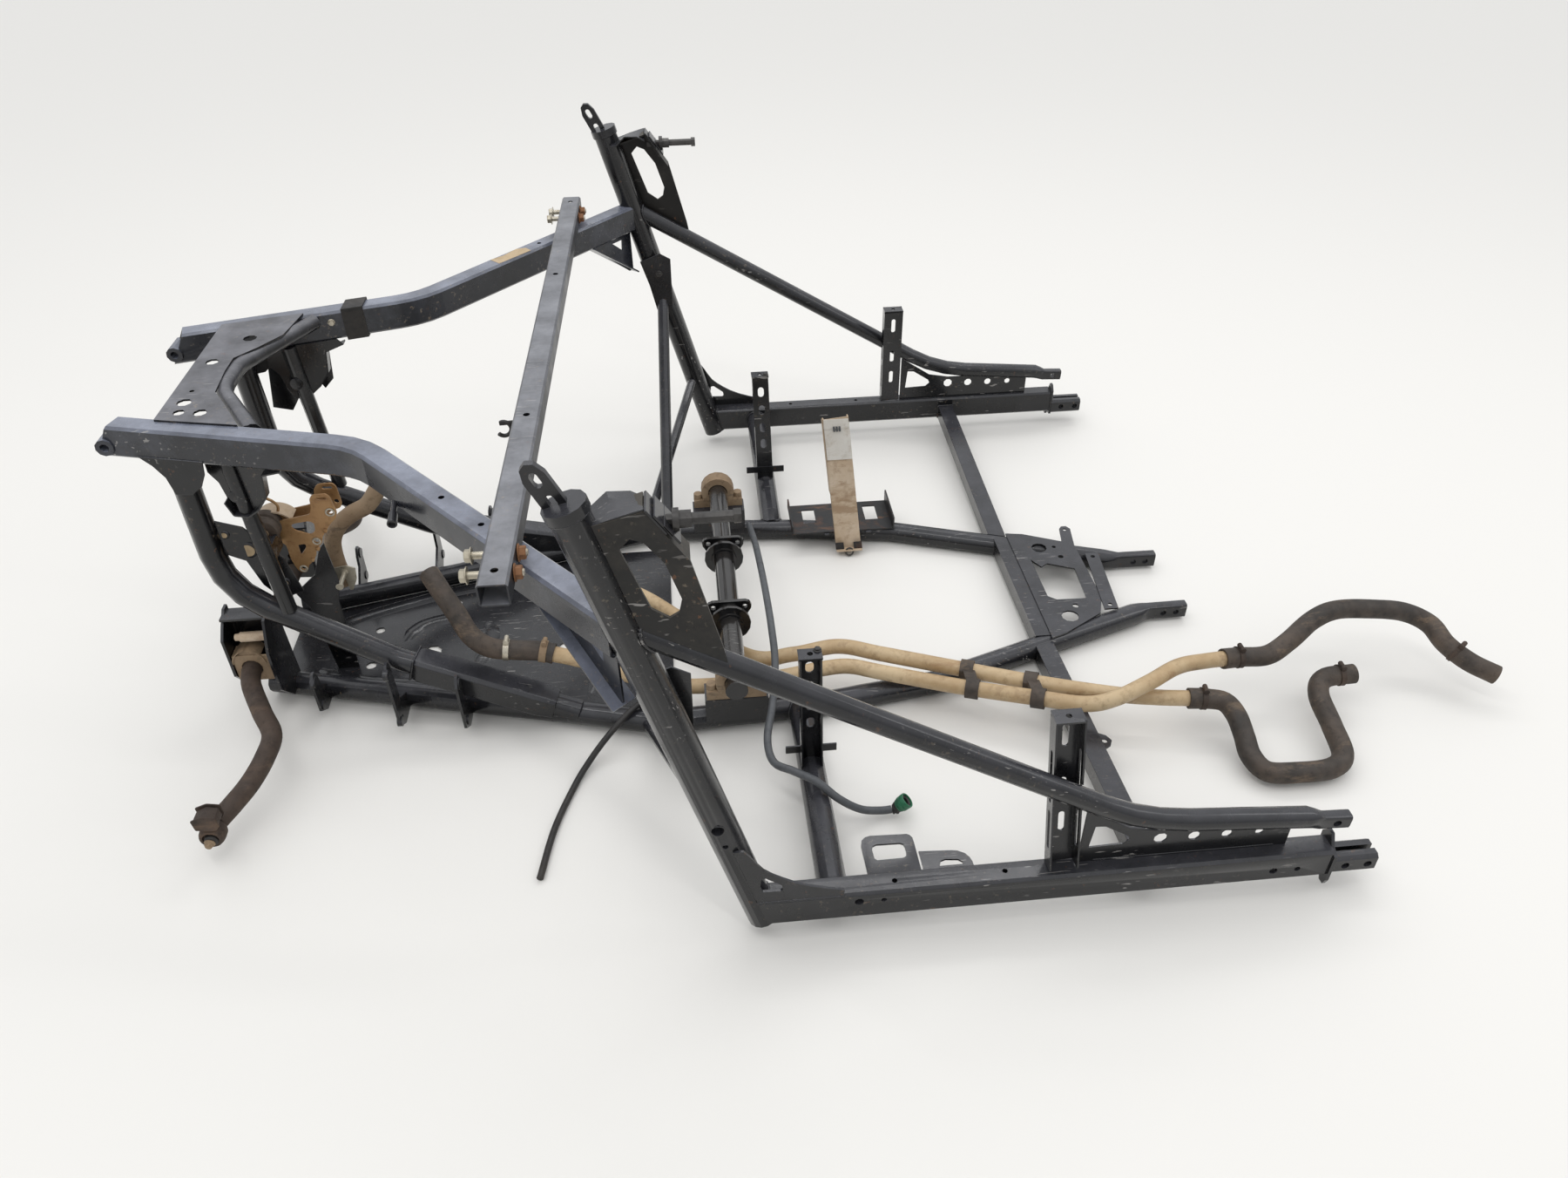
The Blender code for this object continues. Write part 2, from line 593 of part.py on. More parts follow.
def build_tall_bracket(word, side):
    """Slotted channel that leans inwards from the sill, with a drilled cap."""
    low = (0.424, side * 0.696, SILL_Z + SILL_H / 2.0 + GAP + 0.0034)
    high = (0.415, side * 0.650, 0.322)
    section = [(side * u, v) for u, v in channel(0.041, 0.024, 0.0025)]
    bm = bmesh.new()
    sweep(bm, [low, high], section, up=(1.0, 0.0, 0.0), start_shear=0.0)
    ob = new_object("tall_bracket_" + word, bm, BLACK_COAT, smooth=False)

    def cap(bm):
        slab(bm, [rectangle(0.041, 0.026), hole(0.0, 0.0, 0.0042)], 0.003,
             lambda u, v, w: Vector((0.415 + u, side * 0.650 + v, 0.3225 + w)))

    def side_slots(bm):
        bracket_cuts(bm, [low, high], [(0.62, 0.075), (0.26, 0.055)], 0.0042, Vector((1.0, 0.0, 0.0)))

    def web_slots(bm):
        bracket_cuts(bm, [low, high], [(0.85, 0.026), (0.51, 0.022), (0.27, 0.024)], 0.0044, Vector((0.0, 1.0, 0.0)))

    def notch(bm):
        x0, x1 = 0.36, 0.48
        sweep(bm, [(x0, side * SIDE_Y, side_z(x0)), (x1, side * SIDE_Y, side_z(x1))],
              circle(SIDE_TUBE_R + GAP + 0.0012, 12))

    boolean(ob, helper("tall_cap_" + word, cap), 'UNION')
    boolean(ob, helper("tall_side_slots_" + word, side_slots))
    boolean(ob, helper("tall_web_slots_" + word, web_slots))
    return boolean(ob, helper("tall_notch_" + word, notch))


def build_seat_bracket(word, side):
    """Perforated seat post that stands on the outrigger, with two side lugs."""
    low = (OUTRIGGER_X, side * 0.432, 0.050)
    high = (OUTRIGGER_X - 0.005, side * 0.446, 0.284)
    section = [(side * u, v) for u, v in channel(0.033, 0.022, 0.0025)]
    bm = bmesh.new()
    sweep(bm, [low, high], section, up=(1.0, 0.0, 0.0))
    ob = new_object("seat_bracket_" + word, bm, BLACK_COAT, smooth=False)

    def cap(bm):
        slab(bm, [rectangle(0.035, 0.024), hole(0.0, 0.0, 0.0045)], 0.003,
             lambda u, v, w: Vector((high[0] + u, high[1] + v, 0.2845 + w)))

    def lugs(bm):
        y = side * 0.4225
        slab(bm, [[(OUTRIGGER_X - 0.040, 0.066), (OUTRIGGER_X + 0.040, 0.066), (OUTRIGGER_X + 0.040, 0.080),
                   (OUTRIGGER_X - 0.040, 0.080)]], 0.0026, lambda u, v, w: Vector((u, y + w, v)))

    def holes(bm):
        bracket_cuts(bm, [low, high], [(0.86, 0.010), (0.69, 0.009), (0.52, 0.009), (0.36, 0.009)], 0.0062,
                     Vector((0.0, 1.0, 0.0)))

    def seat(bm):
        sweep(bm, OUTRIGGER_LINE[side], circle(OUTRIGGER_R + 2.0 * GAP, 12))

    boolean(ob, helper("seat_cap_" + word, cap), 'UNION')
    boolean(ob, helper("seat_lugs_" + word, lugs), 'UNION')
    boolean(ob, helper("seat_holes_" + word, holes))
    return boolean(ob, helper("seat_foot_" + word, seat))


OUTRIGGER_LINE = {side: [(OUTRIGGER_X, side * 0.6762, 0.0540), (OUTRIGGER_X, side * 0.2705, 0.0235)]
                  for _, side in SIDES}


def build_outrigger(word, side):
    """Lateral tube from the sill to the lower rail."""
    ob = tube("outrigger_" + word, OUTRIGGER_LINE[side], OUTRIGGER_R, BLACK_COAT, 12)
    return boolean(ob, lower_cutter("outrigger_cope_" + word, side))


def build_lower_rail(word, side):
    """Round lower rail from the rear to a flattened, drilled front end, with its ears."""
    centre = [tuple(p) for p in LOWER_CENTRE[side]]
    tail = [(0.768, side * 0.0845, LOWER_FRONT_Z), (0.780, side * 0.0825, LOWER_FRONT_Z),
            (0.852, side * 0.0815, LOWER_FRONT_Z)]
    sections = [circle(LOWER_R, 12)] * len(centre)
    sections += [squashed(LOWER_R, 0.020, 0.030, blend) for blend in (0.5, 1.0, 1.0)]
    bm = bmesh.new()
    sweep(bm, centre + tail, sections)
    ob = new_object("lower_rail_" + word, bm, BLACK_COAT)

    def ear(bm, x, reach, height):
        y = lower_y(x)
        outline = [(y + 0.004, 0.0075), (y + reach, 0.0075), (y + reach + 0.026, 0.026), (y + reach + 0.028, height - 0.014),
                   (y + reach + 0.016, height), (y + reach + 0.008, height), (y + reach, height - 0.014),
                   (y + reach - 0.004, 0.062), (y + 0.012, 0.040)]
        outline = [(side * u, v) for u, v in outline]
        if side < 0:
            outline.reverse()
        slab(bm, [outline, hole(side * (y + reach + 0.013), height - 0.016, 0.0065),
                  hole(side * (y + reach + 0.010), 0.030, 0.0055)], 0.0045, across(x))

    def rear_plate(bm, x, outline):
        outline = [(side * y, z) for y, z in outline]
        if side < 0:
            outline.reverse()
        slab(bm, [outline], 0.0045, across(x))

    outer_plate = [(0.112, 0.062), (0.150, 0.066), (0.168, 0.090), (0.168, 0.165), (0.152, 0.180), (0.126, 0.200),
                   (0.112, 0.200)]
    inner_plate = [(0.100, 0.030), (0.150, 0.026), (0.190, 0.072), (0.190, 0.150), (0.166, 0.200), (0.126, 0.206),
                   (0.110, 0.180)]

    def bridge(bm):
        block(bm, (-0.832, side * 0.132 - 0.016, 0.1900), (-0.754, side * 0.132 + 0.016, 0.1940))

    def pedestal(bm):
        block(bm, (-0.052, side * 0.281 - 0.022, 0.030), (0.052, side * 0.281 + 0.022, SHAFT_Z - 0.0335 - GAP))

    for i, (x, reach, height) in enumerate(((-0.700, 0.040, 0.098), (-0.560, 0.054, 0.150), (-0.450, 0.043, 0.128))):
        boolean(ob, helper("lower_ear_%s_%d" % (word, i), ear, x, reach, height), 'UNION')
    for i, (x, outline) in enumerate(((-0.830, outer_plate), (-0.756, inner_plate))):
        boolean(ob, helper("lower_rear_plate_%s_%d" % (word, i), rear_plate, x, outline), 'UNION')
    boolean(ob, helper("lower_bridge_" + word, bridge), 'UNION')
    boolean(ob, helper("lower_pedestal_" + word, pedestal), 'UNION')
    drill = [((x, side * 0.050, LOWER_FRONT_Z), (x, side * 0.115, LOWER_FRONT_Z), 0.0058, 8) for x in (0.808, 0.832)]
    return boolean(ob, helper("lower_drill_" + word, rods, drill))


def build_upper_rail(word, side):
    """Upper rail: straight from the rear, then splayed out to the pillar."""
    z = RAIL_TOP - RAIL_H / 2.0
    corners = [(-0.878, 0.1515, z), (-0.502, 0.2568, z), (-0.1370, SIDE_Y, z)]
    bm = bmesh.new()
    wall = 2.0 * RAIL_WALL
    sweep(bm, rounded(mirrored(side, corners), 0.13, 3), rectangle(RAIL_W, RAIL_H, 0.004),
          rectangle(RAIL_W - wall, RAIL_H - wall, 0.002), start_shear=0.026 / RAIL_H)
    ob = new_object("upper_rail_" + word, bm, BLACK_COAT)

    def sleeve(bm):
        rod(bm, (-0.880, side * 0.130, 0.5340), (-0.880, side * 0.175, 0.5340), 0.0130, 10)

    def sleeve_bore(bm):
        rod(bm, (-0.880, side * 0.110, 0.5340), (-0.880, side * 0.190, 0.5340), 0.0065, 8)

    boolean(ob, helper("rail_sleeve_" + word, sleeve), 'UNION')
    boolean(ob, helper("rail_sleeve_bore_" + word, sleeve_bore))
    run = Vector((0.365, side * 0.435, 0.0)).normalized()
    base = Vector((-0.502, side * 0.255, RAIL_TOP - RAIL_H))

    def web(bm):
        outline = [(0.430, 0.0015), (0.556, 0.0015), (0.556, -0.084), (0.545, -0.086)]
        window = [(0.500, -0.014), (0.530, -0.014), (0.528, -0.036)]
        slab(bm, [outline, window], 0.003,
             lambda u, v, w: base + run * u + Vector((0.0, 0.0, v)) + Vector((-run.y, run.x, 0.0)) * w)

    def fold(bm):
        a = base + run * 0.431 + Vector((0.0, 0.0, -0.0005))
        b = base + run * 0.556 + Vector((0.0, 0.0, -0.0880))
        sweep(bm, [a, b], rectangle(0.034, 0.003))

    boolean(ob, helper("rail_web_" + word, web), 'UNION')
    boolean(ob, helper("rail_fold_" + word, fold), 'UNION')
    drill = []
    for distance in (0.210, 0.300):
        spot = base + run * distance
        drill.append(((spot.x, spot.y, RAIL_TOP - 0.012), (spot.x, spot.y, RAIL_TOP + 0.01), 0.0042, 10))
    boolean(ob, helper("rail_drill_" + word, rods, drill))
    return boolean(ob, pillar_cutter("rail_cope_" + word, side))


def build_down_tube(word, side):
    """Bent tube from under the upper rail to the lower rail."""
    ob = tube("down_tube_" + word, down_path(side), DOWN_R, BLACK_COAT, 12)
    boolean(ob, under_rail_cutter("down_trim_" + word, -0.796, side))
    return boolean(ob, lower_cutter("down_cope_" + word, side))


def build_rear_post(word, side):
    """Short post from the upper rail down to the down tube."""
    path = mirrored(side, [(-0.7165, 0.1818, RAIL_TOP - RAIL_H + 0.008), (-0.698, 0.189, 0.236)])
    ob = tube("rear_post_" + word, path, POST_R, BLACK_COAT, 10)
    boolean(ob, under_rail_cutter("rear_post_trim_" + word, -0.716, side))
    if side < 0:
        boolean(ob, helper("rear_post_lug", block, (-0.7150, -0.1840, 0.326), (-0.6960, -0.1380, 0.354)), 'UNION')
    return boolean(ob, helper("rear_post_cope_" + word, sweep, down_path(side), circle(DOWN_R + 2.0 * GAP, 12)))


def build_brace_post(word, side):
    """Brace from the pillar, inwards and down to the lower rail."""
    path = mirrored(side, [(pillar_x(0.377), SIDE_Y, 0.377), (-0.107, 0.2805, 0.0240)])
    ob = tube("brace_post_" + word, path, BRACE_R, BLACK_COAT, 10)
    boolean(ob, pillar_cutter("brace_top_cope_" + word, side))
    return boolean(ob, lower_cutter("brace_foot_cope_" + word, side))


def build_diag_brace(word, side):
    """Second, lower brace from the pillar foot to the lower rail."""
    path = mirrored(side, [(pillar_x(0.172), SIDE_Y, 0.172), (-0.153, 0.2795, 0.0240)])
    ob = tube("diag_brace_" + word, path, DIAG_R, BLACK_COAT, 10)
    boolean(ob, pillar_cutter("diag_top_cope_" + word, side))
    return boolean(ob, lower_cutter("diag_foot_cope_" + word, side))


def build_front_cross(word, side):
    """Front crossmember between sill and lower rail."""
    rail_y = lower_y(0.566)
    bm = bmesh.new()
    path = [(CROSS_X, side * 0.6762, 0.0490), (CROSS_X, side * (rail_y + 0.001), LOWER_FRONT_Z + 0.0005)]
    sweep(bm, path, rectangle(0.034, 0.030))
    ob = new_object("front_cross_" + word, bm, BLACK_COAT, smooth=False)

    def ear(bm):
        slab(bm, [[(0.568, side * 0.402), (0.588, side * 0.414), (0.594, side * 0.426), (0.588, side * 0.438),
                   (0.568, side * 0.450)], hole(0.582, side * 0.426, 0.0045)], 0.003, on_level(0.0400))

    if side < 0:
        boolean(ob, helper("front_cross_ear_" + word, ear), 'UNION')
    return boolean(ob, lower_cutter("front_cross_cope_" + word, side))


for word, side in SIDES:
    build_pillar(word, side)
    build_side_tube(word, side)
    build_shoulder_plate(word, side)
    build_belt_bolt(word, side)
    build_sill(word, side)
    build_front_gusset(word, side)
    build_tall_bracket(word, side)
    build_outrigger(word, side)
    build_seat_bracket(word, side)
    build_lower_rail(word, side)
    build_upper_rail(word, side)
    build_down_tube(word, side)
    build_rear_post(word, side)
    build_brace_post(word, side)
    build_diag_brace(word, side)
    build_front_cross(word, side)


# ---------------------------------------------------------------- middle of the frame
def build_rear_gusset():
    """Drilled plate across the upper rails, with a bent tube welded along its front."""
    z = RAIL_TOP + GAP + 0.0015
    outline = [(-0.804, -0.164), (-0.680, -0.194), (-0.716, -0.128), (-0.742, -0.085), (-0.748, -0.015),
               (-0.748, 0.030), (-0.720, 0.066), (-0.692, 0.110), (-0.680, 0.194), (-0.804, 0.164)]
    holes = [hole(-0.742, 0.102, 0.0110), hole(-0.777, 0.020, 0.0100), hole(-0.777, -0.115, 0.0110),
             hole(-0.775, -0.146, 0.0085), hole(-0.744, -0.150, 0.0100), hole(-0.777, -0.079, 0.0040, 6)]
    bm = bmesh.new()
    slab(bm, [outline] + holes, 0.003, on_level(z))
    ob = new_object("rear_gusset_plate", bm, BLACK_COAT, smooth=False)
    corners = [(-0.664, -0.1900, 0.5550), (-0.744, -0.055, 0.5550), (-0.744, 0.035, 0.5550), (-0.664, 0.1900, 0.5550)]
    tool = helper("rear_gusset_tube", sweep, rounded(corners, 0.08, 2), circle(0.0125, 10))
    boolean(ob, tool, 'UNION')

    def trim(bm):
        for side in (-1.0, 1.0):
            sweep(bm, mirrored(side, [(-0.902, 0.1448, 0.520), (-0.560, 0.2406, 0.520)]),
                  rectangle(RAIL_W + 2.0 * GAP, 2.0 * (RAIL_TOP - 0.520) + 2.0 * GAP))
    return boolean(ob, helper("rear_gusset_trim", trim))


def build_skid_plate():
    outline = [(-0.800, -0.098), (-0.255, -0.243), (-0.105, -0.243), (-0.105, 0.243), (-0.255, 0.243), (-0.800, 0.098)]
    spots = [(-0.650, 0.042, 0.009), (-0.689, -0.007, 0.009), (-0.648, -0.059, 0.010), (-0.543, -0.031, 0.017),
             (-0.301, -0.043, 0.012), (-0.520, 0.110, 0.014), (-0.330, 0.120, 0.012)]
    bm = bmesh.new()
    slab(bm, [outline] + [hole(x, y, r) for x, y, r in spots], 0.0034, on_level(0.0017))
    return new_object("skid_plate", bm, BLACK_COAT, smooth=False)


def build_front_plate():
    """Middle crossmember with the drilled plate and the strap welded over it."""
    rail_y = lower_y(0.566) - 0.001
    bm = bmesh.new()
    sweep(bm, [(0.566, -rail_y, 0.0255), (0.566, rail_y, 0.0255)], rectangle(0.042, 0.031))
    ob = new_object("front_plate", bm, BLACK_COAT, smooth=False)
    outline = [(0.572, 0.166), (0.572, -0.166), (0.603, -0.154), (0.680, -0.106), (0.697, -0.060), (0.697, 0.110),
               (0.706, 0.168), (0.700, 0.178), (0.690, 0.178), (0.684, 0.170), (0.676, 0.126), (0.605, 0.160)]
    window = [(0.598, 0.072), (0.598, -0.046), (0.612, -0.058), (0.668, -0.060), (0.674, 0.034), (0.626, 0.056),
              (0.612, 0.046)]
    holes = [hole(0.625, 0.109, 0.0150, 10), hole(0.622, -0.109, 0.0160, 10), hole(0.659, 0.075, 0.0055),
             hole(0.641, -0.080, 0.0060), hole(0.694, 0.166, 0.0040), hole(0.655, 0.109, 0.0040)]

    def plate(bm):
        slab(bm, [outline, window] + holes, 0.0030, on_level(0.04195))

    def strap(bm):
        slab(bm, [[(0.690, -0.098), (0.716, -0.098), (0.734, 0.078), (0.708, 0.078)],
                  hole(0.720, 0.066, 0.0045), hole(0.704, -0.086, 0.0045)], 0.0030, on_level(0.0440))

    boolean(ob, helper("front_plate_sheet", plate), 'UNION')
    boolean(ob, helper("front_plate_strap", strap), 'UNION')
    for word, side in SIDES:
        boolean(ob, lower_cutter("front_plate_cope_" + word, side))
    return ob


def build_crossbar():
    """Loose square-ended bar bolted over the upper rails, open at both ends."""
    z = RAIL_TOP + 0.0004 + CROSSBAR_H / 2.0
    bm = bmesh.new()
    sweep(bm, [(-0.274, -0.655, z), (-0.253, 0.655, z)], rectangle(CROSSBAR_W, CROSSBAR_H, 0.003),
          rectangle(CROSSBAR_W - 0.005, CROSSBAR_H - 0.005, 0.001))
    ob = new_object("crossbar", bm, GREY_COAT)
    drill = []
    for y in (-0.627, -0.263, 0.246, 0.626):
        x = -0.2635 + 0.016 * y
        drill.append(((x, y, z + 0.005), (x, y, z + 0.030), 0.0048, 8))
    for y in CROSSBAR_BOLTS:
        x = -0.2635 + 0.016 * y
        drill.append(((x - 0.04, y, z), (x + 0.04, y, z), 0.0054, 8))
    return boolean(ob, helper("crossbar_drill", rods, drill))


CROSSBAR_BOLTS = (-0.613, -0.574, 0.572, 0.611)


def build_crossbar_bolt(index, y):
    """Long flange bolt across the bar with its rusty nut."""
    z = RAIL_TOP + 0.0004 + CROSSBAR_H / 2.0
    x = -0.2635 + 0.016 * y
    half = CROSSBAR_W / 2.0 + GAP + 0.0004
    bm = bmesh.new()
    rod(bm, (x - 0.038, y, z), (x + half + 0.012, y, z), 0.0048, 8)
    ob = new_object("crossbar_bolt_%d" % index, bm, STEEL)
    parts = [(-0.0430, -0.0360, 0.0080, 6), (-0.0370, -0.0344, 0.0112, 8), (half, half + 0.0022, 0.0105, 8),
             (half + 0.0015, half + 0.0095, 0.0085, 6)]
    for i, (a, b, r, count) in enumerate(parts):
        boolean(ob, helper("crossbar_bolt_%d_%d" % (index, i), rod, (x + a, y, z), (x + b, y, z), r, count), 'UNION')
    return ob


build_rear_gusset()
build_skid_plate()
build_front_plate()
build_crossbar()
for number, offset in enumerate(CROSSBAR_BOLTS, 1):
    build_crossbar_bolt(number, offset)

# ---------------------------------------------------------------- coolant pipes and formed hoses
PIPE_UPPER = [(-0.325, -0.202, 0.1280), (-0.260, -0.212, 0.112), (-0.207, -0.222, 0.096), (-0.145, -0.234, 0.070),
              (-0.079, -0.238, 0.0560), (0.002, -0.238, 0.0540), (0.081, -0.232, 0.0560), (0.151, -0.222, 0.0590),
              (0.198, -0.222, 0.0600), (0.251, -0.245, 0.0610), (0.373, -0.298, 0.0640), (0.492, -0.346, 0.0700),
              (0.560, -0.381, 0.0820), (0.606, -0.386, 0.0950), (0.667, -0.363, 0.1020), (0.730, -0.326, 0.0980),
              (0.785, -0.312, 0.0930), (0.838, -0.306, 0.0900)]
PIPE_LOWER = [(-0.200, 0.070, 0.0500), (-0.143, 0.016, 0.0510), (-0.089, -0.043, 0.0500), (0.029, -0.169, 0.0540),
              (0.105, -0.184, 0.0640), (0.184, -0.179, 0.0700), (0.257, -0.208, 0.0700), (0.381, -0.259, 0.0690),
              (0.506, -0.308, 0.0670), (0.624, -0.345, 0.0640), (0.690, -0.360, 0.0640), (0.758, -0.370, 0.0640)]
HOSE_UPPER = [(0.815, -0.3085, 0.0915), (0.848, -0.305, 0.0895), (0.892, -0.309, 0.0930), (0.938, -0.286, 0.100),
              (0.991, -0.254, 0.115), (1.040, -0.237, 0.120), (1.105, -0.235, 0.115), (1.165, -0.240, 0.107),
              (1.203, -0.263, 0.095), (1.216, -0.300, 0.080), (1.243, -0.334, 0.066), (1.280, -0.360, 0.055)]
HOSE_LOWER = [(0.738, -0.3675, 0.0640), (0.770, -0.3722, 0.0640), (0.797, -0.379, 0.060), (0.809, -0.402, 0.050),
              (0.810, -0.436, 0.038), (0.808, -0.472, 0.028), (0.823, -0.503, 0.023), (0.872, -0.509, 0.022),
              (0.926, -0.506, 0.022), (0.955, -0.484, 0.026), (0.959, -0.432, 0.040), (0.962, -0.372, 0.054),
              (0.985, -0.342, 0.061), (1.036, -0.340, 0.065)]
HOSE_REAR = [(-0.493, -0.111, 0.236), (-0.472, -0.140, 0.216), (-0.448, -0.168, 0.188), (-0.428, -0.190, 0.160),
             (-0.400, -0.200, 0.140), (-0.362, -0.2025, 0.1330), (-0.319, -0.2025, 0.1270), (-0.296, -0.2060, 0.1215)]


def build_pipe(name, route):
    return tube(name, smooth_curve(route, 0.055), PIPE_R, TAN_PIPE, 10)


def build_hose(name, route):
    return tube(name, smooth_curve(route, 0.038), HOSE_R, RUBBER, 10, HOSE_BORE)


build_pipe("coolant_pipe_upper", PIPE_UPPER)
build_pipe("coolant_pipe_lower", PIPE_LOWER)


def build_pipe_clip(name, x):
    """Rubber cushion block that holds both coolant pipes."""
    upper = smooth_curve(PIPE_UPPER, 0.055)
    lower = smooth_curve(PIPE_LOWER, 0.055)

    def at(route):
        for a, b in zip(route, route[1:]):
            if a.x <= x <= b.x:
                return a.lerp(b, (x - a.x) / (b.x - a.x)), (b - a).normalized()
        return route[-1], (route[-1] - route[-2]).normalized()

    a, along = at(upper)
    b, _ = at(lower)
    wide = 0.0045
    half = 0.011
    bm = bmesh.new()
    rod(bm, a - along * half, a + along * half, PIPE_R + wide, 12)
    ob = new_object(name, bm, RUBBER)
    boolean(ob, helper(name + "_second", rod, b - along * half, b + along * half, PIPE_R + wide, 12), 'UNION')
    boolean(ob, helper(name + "_bridge", sweep, [a, b], rectangle(2.0 * half - 0.002, 0.022)), 'UNION')
    for suffix, route in (("upper", upper), ("lower", lower)):
        boolean(ob, helper(name + "_bore_" + suffix, sweep, route, circle(PIPE_R + GAP, 10)))
    return ob


build_pipe_clip("pipe_clip_rear", 0.392)
build_pipe_clip("pipe_clip_front", 0.492)


def fitted_hose(name, route, pipe_route):
    """A hose whose first stretch slips over its pipe without touching it."""
    ob = build_hose(name, route)
    return boolean(ob, helper(name + "_fit", sweep, extended(smooth_curve(pipe_route, 0.055)),
                              circle(PIPE_R + GAP, 10)))


fitted_hose("hose_front_upper", HOSE_UPPER, PIPE_UPPER)
fitted_hose("hose_front_lower", HOSE_LOWER, PIPE_LOWER)
fitted_hose("hose_rear", HOSE_REAR, PIPE_UPPER)


# ---------------------------------------------------------------- cross shaft and pillow blocks
def build_cross_shaft():
    """Cross shaft with two three-lobed flanges and their discs, all turning together."""
    origin = Vector((-CENTRE_X, 0.0, SHAFT_Z))
    bm = bmesh.new()
    rod(bm, (0.0, -0.322, SHAFT_Z), (0.0, 0.322, SHAFT_Z), SHAFT_R, 16)
    ob = new_object("cross_shaft", bm, SHAFT_BLACK)

    def flange(bm, y, thick):
        outline = []
        for lobe in range(3):
            base = math.radians(30.0 + 120.0 * lobe)
            for step in (-1.5, -0.5, 0.5, 1.5):
                a = base + step * math.radians(37.0)
                cu, cv = 0.0320 * math.cos(base), 0.0320 * math.sin(base)
                outline.append((cu + 0.0115 * math.cos(a), cv + 0.0115 * math.sin(a)))
        holes = [hole(0.0320 * math.cos(math.radians(30.0 + 120.0 * k)), 0.0320 * math.sin(math.radians(30.0 + 120.0 * k)),
                      0.0048, 6) for k in range(3)]
        slab(bm, [outline] + holes, thick, lambda u, v, w: Vector((u, y + w, SHAFT_Z + v)))

    for i, (y, disc_y) in enumerate(((0.078, 0.050), (-0.118, -0.146))):
        boolean(ob, helper("shaft_flange_%d" % i, flange, y, 0.007), 'UNION')
        boolean(ob, helper("shaft_hub_%d" % i, rod, (0.0, min(y, disc_y) - 0.006, SHAFT_Z),
                           (0.0, max(y, disc_y) + 0.006, SHAFT_Z), 0.0235, 12), 'UNION')
        boolean(ob, helper("shaft_disc_%d" % i, rod, (0.0, disc_y - 0.003, SHAFT_Z),
                           (0.0, disc_y + 0.003, SHAFT_Z), 0.0360, 16), 'UNION')
    for vert in ob.data.vertices:
        vert.co -= origin
    ob.location = origin
    return ob


def build_pillow_block(word, side):
    """Cast bearing block: a ring on two bolted feet."""
    y = side * 0.290
    bm = bmesh.new()
    rod(bm, (0.0, y - 0.014, SHAFT_Z), (0.0, y + 0.014, SHAFT_Z), 0.0330, 16)
    ob = new_object("pillow_block_" + word, bm, TAN_CAST)

    def feet(bm):
        base = SHAFT_Z - 0.0335
        outline = [(-0.049, base), (0.049, base), (0.049, base + 0.016), (0.028, base + 0.018), (-0.028, base + 0.018),
                   (-0.049, base + 0.016)]
        slab(bm, [outline], 0.024, lambda u, v, w: Vector((u, y + w, v)))

    def bosses(bm):
        for x in (-0.040, 0.040):
            rod(bm, (x, y, SHAFT_Z - 0.028), (x, y, SHAFT_Z - 0.006), 0.0088, 8)

    boolean(ob, helper("pillow_feet_" + word, feet), 'UNION')
    boolean(ob, helper("pillow_bosses_" + word, bosses), 'UNION')
    return boolean(ob, helper("pillow_bore_" + word, rod, (0.0, y - 0.03, SHAFT_Z), (0.0, y + 0.03, SHAFT_Z),
                              SHAFT_R + 0.0008, 16))


build_cross_shaft()
for word, side in SIDES:
    build_pillow_block(word, side)


# ---------------------------------------------------------------- battery tray
def build_battery_tray():
    z = LOWER_FRONT_Z + LOWER_R + GAP + 0.00125
    outline = [(0.146, 0.214), (0.352, 0.214), (0.352, 0.318), (0.146, 0.318)]
    windows = [[(0.172, 0.250), (0.198, 0.250), (0.198, 0.299), (0.172, 0.299)],
               [(0.300, 0.250), (0.326, 0.250), (0.326, 0.301), (0.300, 0.301)]]
    bm = bmesh.new()
    slab(bm, [outline] + windows, 0.0025, on_level(z))
    ob = new_object("battery_tray", bm, RUST, smooth=False)

    def lips(bm):
        block(bm, (0.1450, 0.213, z - 0.0012), (0.1478, 0.319, z + 0.018))
        block(bm, (0.3502, 0.213, z - 0.0012), (0.3530, 0.319, z + 0.026))
    return boolean(ob, helper("battery_tray_lips", lips), 'UNION')


def build_battery_strap():
    """Tan channel that leans up from the tray's inner edge."""
    path = [(0.258, 0.2005, 0.012), (0.233, 0.2500, 0.284)]
    bm = bmesh.new()
    sweep(bm, path, channel(0.050, 0.013, 0.0022), up=(1.0, 0.0, 0.0))
    ob = new_object("battery_strap", bm, TAN_CAST, smooth=False)

    def foot(bm):
        block(bm, (0.232, 0.183, 0.0125), (0.284, 0.203, 0.0150))
    return boolean(ob, helper("battery_strap_foot", foot), 'UNION')


build_battery_tray()
build_battery_strap()

# ---------------------------------------------------------------- anti-roll bar
BAR_SIDE = [(BAR_X, 0.172, BAR_Z), (-0.792, 0.205, 0.098), (-0.763, 0.262, 0.088),
            (-0.739, 0.306, 0.079), (-0.742, 0.348, 0.070), (-0.754, 0.391, 0.062), (-0.771, 0.424, 0.055),
            (-0.789, 0.452, 0.048)]


def bar_path():
    """Straight between the clamps, curved and cranked outside them."""
    arm = smooth_curve(BAR_SIDE, 0.042)
    return [(p.x, -p.y, p.z) for p in reversed(arm)] + [tuple(p) for p in arm]


def build_anti_roll_bar():
    ob = tube("anti_roll_bar", bar_path(), BAR_R, RUST, 12)
    origin = Vector((BAR_X - CENTRE_X, 0.0, BAR_Z))
    for vert in ob.data.vertices:
        vert.co -= origin
    ob.location = origin
    return ob


